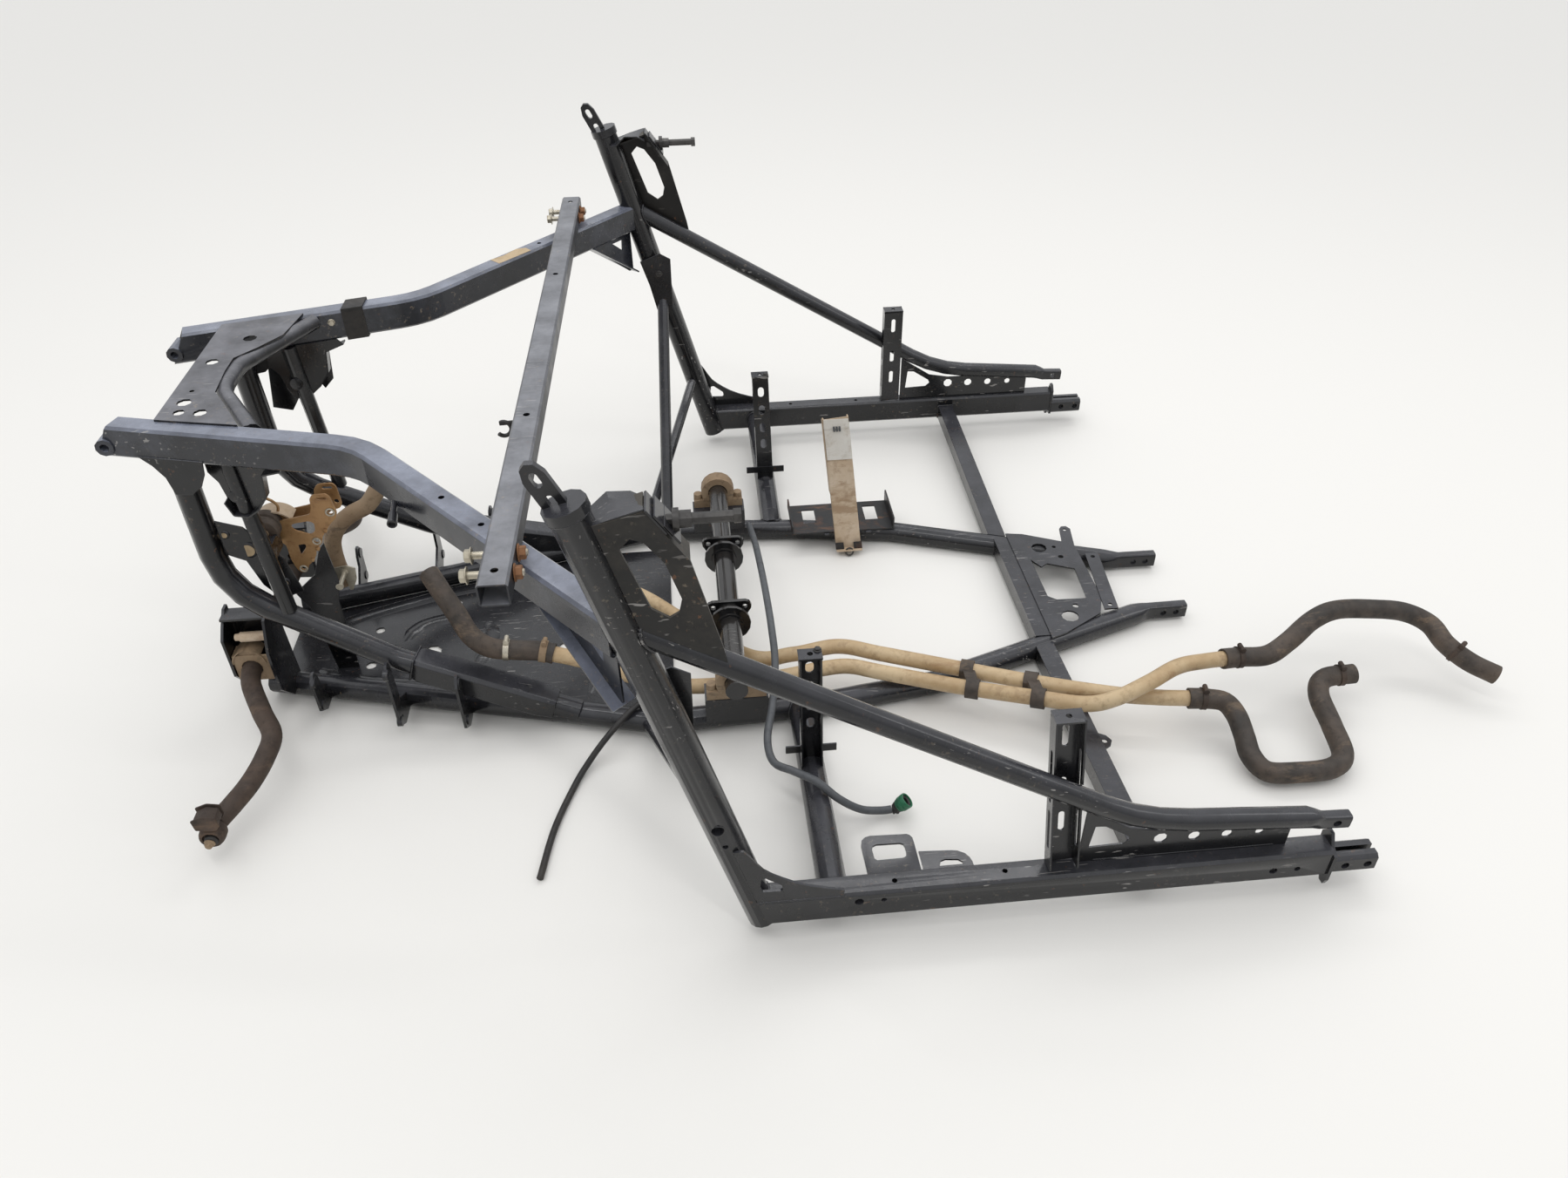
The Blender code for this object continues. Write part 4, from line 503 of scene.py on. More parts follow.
def spaced(points, step, closed):
    loop = points + [points[0]] if closed else points
    out = []
    for a, b in zip(loop, loop[1:]):
        n = max(1, round((b - a).length / step))
        out += [a.lerp(b, k / n) for k in range(n)]
    if not closed:
        out.append(loop[-1])
    return out


def weld(name, points, closed=True, size=0.0024):
    """Rippled bead laid along a line."""
    path = spaced([Vector(p) for p in points], 0.0013, closed)
    return made(name, BLACK, pipe, path, size, 8, closed, None,
                lambda i: 0.88 + 0.22 * abs(sin(i * pi / 3.0)), smooth=60.0)


def hose_band(name, centre, direction, radius, width=0.009, paint=STEEL):
    """Worm-drive clamp: rolled band and its screw housing."""
    axis = Vector(direction).normalized()
    bm = bmesh.new()
    lathe(bm, Vector(centre) - axis * width / 2.0, axis,
          [(0.0, radius), (0.0004, radius + 0.0012), (width * 0.5, radius + 0.0008),
           (width - 0.0004, radius + 0.0012), (width, radius)], 40)
    side = axis.cross(UP).normalized()
    top = side.cross(axis)
    seat = Vector(centre) + top * (radius + 0.0035)
    lathe(bm, seat - side * 0.009, side,
          mm([(0, 3), (1, 4), (10, 4), (11, 3.2), (13.5, 3.2), (13.7, 4.8), (18, 4.8), (18.2, 4)]), 14)
    return add(name, bm, paint, bevel=0.0003)


def hex_bolt(name, centre, direction, size, paint=STEEL, body="frame", reach=0.008):
    """Flange bolt head: washer face, hexagon and a domed end."""
    bm = bmesh.new()
    lathe(bm, centre, direction, [(0.0, size * 1.25), (0.0012, size * 1.3), (0.0022, size * 1.05)], 28)
    lathe(bm, Vector(centre) + Vector(direction).normalized() * 0.0018, direction,
          [(0.0, size), (reach * 0.72, size), (reach * 0.82, size * 0.86)], 6)
    return add(name, bm, paint, body, bevel=0.0004)


# ---------------- cords
FUEL_ROUTE = mm([(57, 204, 78), (61, 100, 110), (63, -16, 138), (65, -113, 148), (67, -203, 140),
                 (67, -262, 113), (56, -329, 85), (42, -395, 74), (47, -450, 77), (75, -476, 81),
                 (107, -498, 78), (140, -513, 52), (174, -512, 24), (206, -509, 14), (222.5, -508, 13.8)])
VENT_ROUTE = mm([(-138, -240, 46), (-154, -259, 50), (-173, -280, 51.5), (-199, -306, 42), (-223, -328, 27),
                 (-245, -354, 13), (-266, -395, 6), (-293, -482, 5.6), (-309, -577, 5.6)])


def cord(name, node, route, radius, paint, with_pieces):
    points, length = curve_points([at(*p) for p in route], 0.008)
    curve = bpy.data.curves.new(name, 'CURVE')
    curve.dimensions = '3D'
    curve.bevel_depth = radius
    curve.bevel_resolution = 5
    curve.use_fill_caps = True
    spline = curve.splines.new('POLY')
    spline.points.add(len(points) - 1)
    for slot_point, p in zip(spline.points, points):
        slot_point.co = (*p, 1.0)
    spline.use_smooth = True
    piece = placed(name, curve)
    curve.materials.append(paint)
    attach(piece, "frame")
    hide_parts(node)
    return points


def build_connector():
    """Quick connector: dark elbow on the hose, and green socket with its latch, pointing up and forward."""
    start = at(0.2237, -0.508, 0.0138)
    base = start + Vector((0.007, -0.0005, 0.004))
    along = Vector((0.707, -0.04, 0.706)).normalized()
    bm = bmesh.new()
    lathe(bm, start, (1.0, -0.04, 0.05),
          mm([(0, 6.4), (0.8, 7.8), (3.2, 8.2), (3.8, 7), (5.6, 7), (6.2, 8.2), (9.5, 8), (10.8, 6)]), 28)
    lathe(bm, base - along * 0.0015, along, mm([(0, 7.4), (1, 9), (6, 9.4), (6.4, 8)]), 28)
    elbow = add("connector_elbow", bm, DARK_LINE, bevel=0.0003, slot_name="line_rubber")
    bm = bmesh.new()
    lathe(bm, base + along * 0.003, along,
          mm([(0, 8), (0.6, 10), (3, 10.6), (3.4, 9.4), (4.8, 9.4), (5.3, 11.8), (10, 12.2), (10.5, 11.2),
              (11.8, 11.2), (12.3, 12.4), (18, 12.4), (19, 11.8), (19, 10), (12, 9.2), (11.8, 2)]), 32)
    aside = along.cross(Vector((0.0, 1.0, 0.0))).normalized()
    plate(bm, eased(mm([(-3.5, 9), (3.5, 9), (3, 14.8), (-3, 14.8)]), 0.0012, 2), 0.006,
          lambda u, v, w: base + along * (0.012 + w) + Vector((0.0, 1.0, 0.0)) * u - aside * v)
    shell = add("connector_shell", bm, GREEN, bevel=0.0003, stands_for=("quick_connector",),
                slot_name="green_connector")
    seal = made("connector_seal", DARK_LINE, lathe, base + along * 0.0145, along,
                mm([(0, 9.2), (5.2, 9.4), (5.6, 8.4), (4, 6), (0.4, 5.8), (0.2, 2)]), 28,
                slot_name="line_rubber")
    return [shell, elbow, seal]


cord("fuel_line", "fuel_hose", FUEL_ROUTE, 0.0062, LINE, build_connector())
vent_points = cord("vent_line", "vent_hose", VENT_ROUTE, 0.0052, DARK_LINE, [])


# ---------------- the CAD's own pieces, with worked edges
def dressed(node, paint, bevel=0.001, body="frame", slot_name="black_frame"):
    """A CAD node's own shape, its flats merged and its edges rounded, in place of the faceted node."""
    bm = bmesh.new()
    bm.from_mesh(NODES[node].data)
    bmesh.ops.remove_doubles(bm, verts=bm.verts, dist=0.00002)
    bmesh.ops.dissolve_limit(bm, angle_limit=radians(0.6), verts=bm.verts, edges=bm.edges,
                             delimit={'NORMAL'})
    return add(node + "_shape", bm, paint, body, 38.0, bevel, (node,), slot_name)


PAINT_OF = {"pillar": (BLACK, 0.0008), "shoulder_plate": (MUDDY, 0.0008), "side_tube": (BLACK, 0.0006),
            "sill": (BLACK, 0.001), "front_gusset": (BLACK, 0.0008), "tall_bracket": (BLACK, 0.0006),
            "outrigger": (BLACK, 0.0006), "seat_bracket": (BLACK, 0.0006), "lower_rail": (BLACK, 0.0006),
            "upper_rail": (RAIL, 0.0014), "down_tube": (BLACK, 0.0006), "rear_post": (BLACK, 0.0006),
            "brace_post": (BLACK, 0.0006), "diag_brace": (BLACK, 0.0006), "front_cross": (BLACK, 0.0014),}
for stem, (paint, bevel) in PAINT_OF.items():
    for word, side in SIDES:
        dressed(stem + "_" + word, paint, bevel)
dressed("rear_gusset_plate", DUSTY_SHEEN, 0.0007)
dressed("skid_plate", SKID, 0.0006)
dressed("front_plate", BLACK, 0.0008)
dressed("crossbar", BAR, 0.001, slot_name="grey_bar")
dressed("battery_tray", TRAY, 0.0005)
dressed("battery_strap", STRAP, 0.0005, slot_name="tan_casting")
dressed("cross_shaft", CLEAN, 0.0006, "shaft", "shaft_black")
for word, side in SIDES:
    dressed("pillow_block_" + word, CAST, 0.0014, slot_name="tan_casting")
    dressed("bar_clamp_" + word, CAST, 0.0018, slot_name="rusty_steel")
    dressed("belt_bolt_" + word, DARK_STEEL, 0.0005, slot_name="fastener_steel")
for name in ("pipe_clip_front", "pipe_clip_rear"):
    dressed(name, RUBBER, 0.0014)

# ---------------- coolant pipes and formed hoses
PIPE_UPPER = mm([(-325, -202, 128), (-260, -212, 112), (-207, -222, 96), (-145, -234, 70), (-79, -238, 56),
                 (2, -238, 54), (81, -232, 56), (151, -222, 59), (198, -222, 60), (251, -245, 61),
                 (373, -298, 64), (492, -346, 70), (560, -381, 82), (606, -386, 95), (667, -363, 102),
                 (730, -326, 98), (785, -312, 93), (838, -306, 90)])
PIPE_LOWER = mm([(-200, 70, 50), (-143, 16, 51), (-89, -43, 50), (29, -169, 54), (105, -184, 64),
                 (184, -179, 70), (257, -208, 70), (381, -259, 69), (506, -308, 67), (624, -345, 64),
                 (690, -360, 64), (758, -370, 64)])
HOSE_UPPER = mm([(815, -308.5, 91.5), (848, -305, 89.5), (892, -309, 93), (938, -286, 100),
                 (991, -254, 115), (1040, -237, 120), (1105, -235, 115), (1165, -240, 107),
                 (1203, -263, 95), (1216, -300, 80), (1243, -334, 66), (1280, -360, 55)])
HOSE_LOWER = mm([(738, -367.5, 64), (770, -372.2, 64), (797, -379, 60), (809, -402, 50), (810, -436, 38),
                 (808, -472, 28), (823, -503, 23), (872, -509, 22), (926, -506, 22), (955, -484, 26),
                 (959, -432, 40), (962, -372, 54), (985, -342, 61), (1036, -340, 65)])
HOSE_REAR = mm([(-493, -111, 236), (-472, -140, 216), (-448, -168, 188), (-428, -190, 160),
                (-400, -200, 140), (-362, -202.5, 133), (-319, -202.5, 127), (-296, -206, 121.5)])
PIPE_R = 0.0132
HOSE_R = 0.017
HOSE_BORE = 0.01375
PILLAR_R = 0.0225
OUTRIGGER_R = 0.0215
BAR_R = 0.0154


def run_of(route, step=0.006):
    return curve_points([at(*p) for p in route], step)[0]


for name, node, route in (("pipe_upper", "coolant_pipe_upper", PIPE_UPPER),
                          ("pipe_lower", "coolant_pipe_lower", PIPE_LOWER)):
    made(name, PIPE, pipe, run_of(route), PIPE_R, 28, stands_for=(node,), slot_name="tan_pipe")

HOSES = {"hose_rear": (HOSE_REAR, 1), "hose_front_upper": (HOSE_UPPER, 0),
         "hose_front_lower": (HOSE_LOWER, 0)}
for node, (route, joined_end) in HOSES.items():
    points = run_of(route)
    last = len(points) - 1

    def swell(i, last=last, joined_end=joined_end):
        """A hose stands wider where it is stretched over its pipe, and is a little uneven along its run."""
        near = last - i if joined_end else i
        return 1.0 + 0.045 * max(0.0, 1.0 - near / 6.0) - 0.02 + 0.008 * sin(i * 0.55)

    made(node + "_rubber", RUBBER, pipe, points, HOSE_R, 32, False, HOSE_BORE, swell, bevel=0.0005,
         stands_for=(node,), slot_name="dirty_rubber")


def clamp_on(name, route, share, radius, width=0.009, paint=STEEL):
    points = run_of(route)
    i = min(len(points) - 2, max(1, round(share * (len(points) - 1))))
    return hose_band(name, points[i], points[i + 1] - points[i - 1], radius, width, paint)


clamp_on("hose_rear_band_a", HOSE_REAR, 0.72, 0.0173, 0.01)
clamp_on("hose_rear_band_b", HOSE_REAR, 0.93, 0.0177, 0.012, CAST)
clamp_on("hose_upper_band", HOSE_UPPER, 0.05, 0.0176, 0.009, RUST)
clamp_on("hose_upper_tip_band", HOSE_UPPER, 0.865, 0.0173, 0.007, RUST)
clamp_on("hose_lower_band", HOSE_LOWER, 0.045, 0.0176, 0.009, RUST)
clamp_on("hose_lower_tip_band", HOSE_LOWER, 0.955, 0.0173, 0.009, RUST)

# ---------------- anti-roll bar
BAR_SIDE = mm([(-800, 172, 102), (-792, 205, 98), (-763, 262, 88), (-739, 306, 79), (-742, 348, 70),
               (-754, 391, 62), (-771, 424, 55), (-789, 452, 48)])
arm, _ = curve_points(BAR_SIDE, 0.006)
arm = [Vector((p.x - CX, p.y, p.z)) for p in arm]
middle = [Vector((-0.8 - CX, -0.172 + 0.0172 * k, 0.102)) for k in range(1, 20)]
bar_line = [Vector((p.x, -p.y, p.z)) for p in reversed(arm)] + middle + arm
made("anti_roll_bar_round", RUST, pipe, bar_line, BAR_R, 28, body="bar", bevel=0.001,
     stands_for=("anti_roll_bar",), slot_name="rusty_steel")

# ---------------- crossbar bolts and nuts
for k, y in enumerate((-0.613, -0.574, 0.572, 0.611), 1):
    x = -0.2635 + 0.016 * y
    z = 0.5814
    shank = made("crossbar_bolt_%d_shank" % k, STEEL, lathe, at(x - 0.0362, y, z), (1, 0, 0),
                 mm([(0, 4.6), (65, 4.6), (66.5, 3.6)]), 20, bevel=0.0003, slot_name="fastener_steel")
    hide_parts("crossbar_bolt_%d" % k)
    hex_bolt("crossbar_bolt_%d_head" % k, at(x - 0.034, y, z), (-1, 0, 0), 0.0082, STEEL, reach=0.0088)
    hex_bolt("crossbar_nut_%d" % k, at(x + 0.0185, y, z), (1, 0, 0), 0.0086, NUT, reach=0.0095)

# ---------------- welds
LEAN = atan2(0.189, 0.693)
PILLAR_AXIS = Vector((-sin(LEAN), 0.0, cos(LEAN)))
for word, side in SIDES:
    foot = at(0.0125, side * 0.69, 0.018)
    slope = Vector((1.0, 0.0, -0.605)).normalized()
    start = at(0.02, side * 0.69, 0.155 - 0.605 * (0.02 - 0.529))
    weld("weld_side_tube_" + word,
         meeting_line(round_profile(0.0155), start, -slope, foot, PILLAR_AXIS, PILLAR_R))
    weld("weld_sill_" + word,
         meeting_line(box_profile(0.034, 0.048), at(0.1, side * 0.696, 0.057), (-1, 0, 0), foot,
                      PILLAR_AXIS, PILLAR_R), size=0.0022)
    rail = at(0.11, side * 0.27, 0.0205)
    rail_axis = Vector((0.27, -0.019 * side, -0.004))
    weld("weld_outrigger_" + word,
         meeting_line(round_profile(OUTRIGGER_R), at(0.108, side * 0.36, 0.0302), (0, -side, -0.0752), rail,
                      rail_axis, 0.02))
    weld("weld_outrigger_sill_" + word,
         [at(0.108 + u, side * 0.6772, 0.054 + v) for u, v in round_profile(0.0217)])
    weld("weld_cross_sill_" + word,
         [at(0.5565 + u, side * 0.6772, 0.049 + v) for u, v in box_profile(0.034, 0.03)], size=0.002)
    weld("weld_gusset_" + word, [at(0.0095 * k, side * 0.7132, 0.0815) for k in range(13)], False, 0.0018)
    weld("weld_plate_" + word,
         [foot + PILLAR_AXIS * (0.065 + 0.0065 * k) + Vector((0.0068, side * 0.0214, 0.0018))
          for k in range(17)], False, 0.0018)
    for k, (height, size) in enumerate(((0.23, 0.0088), (0.199, 0.0044))):
        centre = foot + PILLAR_AXIS * ((height - 0.018) / cos(LEAN)) + Vector((0.0, side * 0.0222, 0.0))
        made("pillar_hole_rim_%s_%d" % (word, k), BLACK, pipe,
             [centre + Vector((size * c, -side * 0.0016 * abs(c), size * h)) for c, h in circle(28)],
             0.0009, 8, True)
    weld("weld_front_gusset_" + word, [at(0.47 + 0.02 * k, side * 0.6905, 0.0835) for k in range(14)],
         False, 0.0018)
    weld("weld_cap_" + word,
         [at(-0.1765, side * 0.69, 0.711) + PILLAR_AXIS * -0.0065
          + Vector((c * cos(LEAN), h, c * sin(LEAN))) * 0.0232 for c, h in circle(30)], size=0.0016)
    along = Vector((0.376, 0.1053, 0.0))
    base = at(-0.8, side * (0.1515 + 0.0218), 0.5168)
    weld("weld_rail_hanger_" + word,
         [base + Vector((along.x, side * along.y, 0.0)) * (0.028 * k) for k in range(13)], False, 0.0017)


# ---------------- plates and webs under the rear rails
def rail_y(x):
    """Centre of the left upper rail on its straight rear stretch."""
    return 0.1515 + (x + 0.878) * 0.28


def rail_side(side, inset):
    """Places a plate along the straight rear stretch of an upper rail: (x, z) in, inset from its centre."""
    return lambda u, v, w: at(u, side * (rail_y(u) + inset + w), v)


SADDLE_OUT = mm([(-836, 522.5), (-818, 508.5), (-804, 490), (-798, 462), (-772, 464), (-752, 480),
                 (-741, 500.5), (-737, 522.5)])
HANGER = mm([(-752, 516), (-640, 516), (-632, 505), (-662, 496), (-667, 458), (-684, 436), (-704, 421),
             (-727, 421), (-735.4, 442.3), (-740.4, 468.6), (-752.5, 484.8)])
for word, side in SIDES:
    made("rear_saddle_" + word, DUSTY_SHEEN, plate, SADDLE_OUT, 0.003, rail_side(side, 0.019), bevel=0.0006)
    made("rear_hanger_" + word, BLACK, plate, HANGER, 0.003, rail_side(side, -0.0135), bevel=0.0006)
    bm = bmesh.new()
    flange = [at(x, side * (rail_y(x) - 0.006), z) for x, z in HANGER[2:9]]
    for a, b in zip(flange, flange[1:]):
        across = Vector((0.0, side * 0.0085, 0.0))
        drop = (b - a).cross(across).normalized() * 0.0012
        def on_lip(u, v, w, a=a, b=b, drop=drop, across=across):
            return a.lerp(b, u) + across * (2 * v - 1) + drop * 2 * w
        plate(bm, rect(0, 0, 1, 1), 1.0, on_lip)
    add("rear_hanger_lip_" + word, bm, BLACK)
    made("rear_hanger_boss_" + word, BLACK, lathe, at(-0.716, side * 0.168, 0.452), (0, side, 0),
         mm([(0, 6), (1, 10.5), (26, 10.5), (27, 6)]), bevel=0.0004)

# box bracket hung from the left rail
made("box_bracket_plate", BLACK, plate,
     mm([(-752, 505), (-664, 508), (-672, 430), (-690, 412), (-704, 440), (-741, 395), (-757, 372),
         (-790, 380), (-776, 470)]), 0.003, upright(0.232), bevel=0.0006)
made("box_bracket_body", BLACK, plate, mm([(-735, 500), (-682, 503), (-690, 418), (-736, 420)]), 0.05,
     upright(0.26), bevel=0.0025)
made("box_bracket_panel", DUSTY_SHEEN, plate, mm([(-728, 488), (-692, 490), (-697, 432), (-729, 434)]), 0.006,
     upright(0.233), bevel=0.0015)

# perforated brace behind the right rear post
BRACE = mm([(-788, 402), (-742, 372), (-702, 300), (-690, 232), (-722, 226), (-741, 262), (-752, 312),
            (-790, 345)])


def in_brace(u, v, w):
    return at(u, -0.15 + (u + 0.74) * 0.35 + w, v)


made("perforated_brace", BLACK, plate, BRACE, 0.003, in_brace, bevel=0.0006)
bm = bmesh.new()
for u, v, r in ((-0.745, 0.33, 0.0125), (-0.726, 0.29, 0.011), (-0.713, 0.256, 0.0085),
                (-0.768, 0.366, 0.0065)):
    lathe(bm, in_brace(u, v, -0.0022), (0, 1, 0),
          [(0.0, r), (0.0007, r * 1.15), (0.0037, r * 1.15), (0.0044, r)], 26)
add("brace_dimples", bm, DUSTY_SHEEN, bevel=0.0003)
bm = bmesh.new()
for u, v, r in ((-0.745, 0.33, 0.0105), (-0.726, 0.29, 0.0092), (-0.713, 0.256, 0.0068),
                (-0.768, 0.366, 0.0045)):
    lathe(bm, in_brace(u, v, -0.0026), (0, 1, 0), [(0.0, r), (0.0052, r)], 26)
add("brace_lights", bm, LABEL)

# rubber mount and its long bolt beside the plated bracket
made("rubber_mount", RUBBER, lathe, at(-0.716, -0.15, 0.357), (0, 1, 0.05),
     mm([(0, 10), (1, 21.5), (6, 24), (14, 23.5), (17, 20), (20, 23.5), (32, 23.5), (38, 19), (39, 8)]), 32,
     bevel=0.0004)
hex_bolt("rubber_mount_bolt", at(-0.716, -0.15, 0.357), (0, -1, 0), 0.0075, CAST, reach=0.007)
bm = bmesh.new()
ring, _ = curve_points(mm([(-730, -118, 388), (-712, -118, 402), (-694, -118, 388), (-700, -118, 365)]),
                       0.003)
pipe(bm, [Vector((p.x - CX, p.y, p.z)) for p in ring], 0.0022, 10)
add("plated_ring", bm, ZINC)

# bent tan tube behind the plated bracket, held by a clip on an upright plate
TAN_TUBE = mm([(-547.4, 0, 373.7), (-575.5, 0, 333.2), (-597.7, 0, 305.3), (-627.6, 0, 289.3),
               (-653.8, 0, 267.9), (-671.3, 0, 237.8), (-675.2, 0, 194.1), (-669.4, 0, 147.5)])
made("support_tube", CAST, pipe, run_of(TAN_TUBE, 0.005), 0.0146, 24, False, 0.0122, bevel=0.0006)
made("tube_upright", BLACK, plate,
     mm([(-735.5, 175.9), (-694, 212), (-675, 261.9), (-664.5, 273.6), (-658, 195.9), (-668, 153.8),
         (-668, 3), (-705, 3), (-718.6, 140.8)]), 0.003, upright(-0.06), bevel=0.0006)
bm = bmesh.new()
plate(bm,
      eased(mm([(-680.6, 191.7), (-656.2, 194.7), (-641.8, 188.5), (-644.6, 165.2), (-655.3, 142.3),
                (-660.6, 142.7), (-662.8, 166.8), (-678.4, 168.1)]), 0.002, 2), 0.0026, upright(-0.0152))
lathe(bm, at(-0.66, -0.062, 0.183), (0, 1, 0),
      mm([(0, 6.5), (4.5, 6.5), (5, 3.8), (42, 3.8), (42.5, 6), (46.5, 6)]), 16)
add("tube_clip", bm, STEEL, bevel=0.0003)

# box-section sleeve over the down tube, just behind the pillar
OCTAGON = [(-1, -0.75), (-0.75, -1), (0.75, -1), (1, -0.75), (1, 0.75), (0.75, 1), (-0.75, 1), (-1, 0.75)]
for word, side in SIDES:
    ends = [at(-0.523, side * 0.2045, 0.1215), at(-0.3, side * 0.2435, 0.0442)]
    run = (ends[1] - ends[0]).normalized()
    across = run.cross(UP).normalized()
    up = across.cross(run)
    bm = bmesh.new()
    rings = []
    for p, wide, high in ((ends[0], 0.0195, 0.02), (ends[0] + run * 0.012, 0.0235, 0.0225),
                          (ends[1] - run * 0.03, 0.0235, 0.0225), (ends[1], 0.0205, 0.0195)):
        rings.append([bm.verts.new(p + across * a * wide + up * b * high) for a, b in OCTAGON])
    skin_rings(bm, rings)
    bm.faces.new(rings[0])
    bm.faces.new(rings[-1])
    add("down_tube_sleeve_" + word, bm, BLACK, bevel=0.0016)
    weld("weld_sleeve_" + word,
         [ends[0] + across * a * 0.02 + up * b * 0.0203 for a, b in rect(-1, -1, 1, 1)], size=0.0017)

# studs, nuts and clips
made("rail_stud", BLACK, lathe, at(-0.4468, -0.336, 0.524), (0.07, -1.0, -0.12),
     mm([(0, 4), (36, 4), (36.6, 5.2), (40, 5.2), (40.4, 5.8), (60, 6.8), (60.6, 6.2), (60.4, 4.6),
         (56, 4.2), (55.8, 1)]), 24, bevel=0.0005)
bm = bmesh.new()
clip = [at(-0.306 + 0.0092 * cos(a), -0.231 + 0.002 * a, 0.559 + 0.0092 * sin(a))
        for a in (radians(-150 + 12 * k) for k in range(25))]
pipe(bm, [at(-0.284, -0.226, 0.566)] + clip[::-1], 0.003, 10)
add("line_clip", bm, DARK_LINE)

# band clip round the left rail, with its bright fastener, and the blank label
BAND_X = -0.604
BAND_Z = 0.54125
bm = bmesh.new()
for off_y, off_z, wide, high in ((0.0, 0.0268, 0.0405, 0.003), (-0.0195, 0.0, 0.003, 0.056),
                                 (0.0195, 0.0, 0.003, 0.056), (0.0, -0.0268, 0.0405, 0.003)):
    def on_band(u, v, w, y=rail_y(BAND_X) + off_y, z=BAND_Z + off_z):
        return at(BAND_X + w, y + u + w * 0.28, z + v)
    plate(bm, rect(-wide / 2, -high / 2, wide / 2, high / 2), 0.034, on_band)
add("rail_band", bm, DARK_LINE, bevel=0.0008)
hex_bolt("rail_band_screw", at(-0.64, rail_y(-0.64) - 0.0182, 0.548), (0.26, -1, 0), 0.0048, STEEL,
         reach=0.006)
DIAGONAL = (Vector((0.365, 0.4332, 0.0)).normalized(), Vector((-0.4332, 0.365, 0.0)).normalized())


def on_rail_top(u, v, w):
    return at(-0.502, 0.2568, 0.5663) + DIAGONAL[0] * u + DIAGONAL[1] * v + Vector((0.0, 0.0, w))


made("blank_label", LABEL, plate,
     mm([(182, -13.5), (262, -15), (266, 2), (252, 13.5), (214, 9), (186, 14)]), 0.0003, on_rail_top)

# stays between the battery tray and its rail, and the stay that holds the vent line
bm = bmesh.new()
for x in (0.215, 0.262, 0.3):
    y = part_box("battery_tray")[0][1]
    plate(bm, [(y - 0.004, 0.036), (y + 0.012, 0.0378), (y + 0.012, 0.041), (y - 0.004, 0.04)], 0.01,
          lambda u, v, w, x=x: at(x + w, u, v))
add("tray_stays", bm, BLACK, bevel=0.0005)
bm = bmesh.new()
start, ahead = vent_points[4], (vent_points[5] - vent_points[3]).normalized()
lathe(bm, start - ahead * 0.004, ahead, mm([(0, 5), (0.3, 6.4), (7.7, 6.4), (8, 5)]), 24)
beside = ahead.cross(UP).normalized()
plate(bm, rect(-0.004, -0.014, 0.004, 0.0), 0.0016,
      lambda u, v, w: start + ahead * u + Vector((0.0, 0.0, v)) + beside * w)
add("vent_stay", bm, BLACK, bevel=0.0002)

# hoods over the belt bolts, the thin plates under them, and tabs and bolts inside the pillars
BELT_SIDE_Y = 0.684
HOOD_OUT = mm([(-160, 693.5), (-149, 696.5), (-128, 703.5), (-107, 709.5), (-98, 712)])
HOOD_IN = mm([(-166, 690), (-154, 692.5), (-137, 708.5), (-112, 707.5), (-98, 699)])
for word, side in SIDES:
    made("shoulder_hood_" + word, BLACK, sheet_of, [at(x, side * 0.701, z) for x, z in HOOD_OUT],
         [at(x, side * 0.656, z) for x, z in HOOD_IN], 0.003 * side, smooth=60.0, bevel=0.0008)
    bm = bmesh.new()
    for x, z, tilt in ((-0.0865, 0.706, 0.018), (-0.079, 0.701, 0.016), (-0.071, 0.69, 0.014)):
        def by_reel(u, v, w, x=x, z=z, side=side):
            return at(x + w * 0.83 + v * 0.56, side * BELT_SIDE_Y + u, z - 0.01 + w * 0.56 - v * 0.83)
        plate(bm, rect(-0.02, -tilt, 0.02, tilt), 0.0028, by_reel)
    add("belt_reel_plates_" + word, bm, BLACK, bevel=0.0006)
for word, side in SIDES:
    made("pillar_tab_" + word, BLACK, plate,
         mm([(-128, 452), (-86, 468), (-64, 455), (-66, 345), (-80, 330), (-100, 345), (-112, 400)]), 0.003,
         upright(0.664, side), bevel=0.0006)
    hex_bolt("pillar_tab_bolt_" + word, at(-0.09, side * 0.6625, 0.425), (0, -side, 0), 0.0055, DARK_STEEL)
    hex_bolt("seat_bracket_bolt_" + word, at(0.1145, side * 0.4395, 0.2862), (0, 0, 1), 0.0048, DARK_STEEL,
             reach=0.0035)

# pressed ribs in the skid plate
RIBS = [[(-740, -60), (-660, -100), (-520, -130), (-400, -160)],
        [(-740, 60), (-660, 100), (-520, 150), (-400, 170)], [(-460, -90), (-440, -20), (-450, 50)],
        [(-250, -180), (-200, -50), (-200, 50), (-250, 180)], [(-600, 0), (-570, 50), (-500, 70)]]
RIB_SECTION = mm([(-17, 0), (-10, 3.5), (0, 5), (10, 3.5), (17, 0)])
for k, route in enumerate(RIBS):
    points, _ = curve_points([(x - CX, y, 0.0) for x, y in mm(route)], 0.01)
    bm = bmesh.new()
    rings = []
    last = len(points) - 1
    for i, (p, u, v) in enumerate(frames(points)):
        flat = Vector((u.x, u.y, 0.0)).normalized()
        rise = min(1.0, i / 3.0, (last - i) / 3.0)
        rings.append([bm.verts.new(Vector((p.x, p.y, 0.003)) + flat * a * (0.35 + 0.65 * rise)
                                   + Vector((0, 0, h * rise))) for a, h in RIB_SECTION])
    skin_rings(bm, rings)
    add("skid_rib_%d" % k, bm, SKID, smooth=60.0)

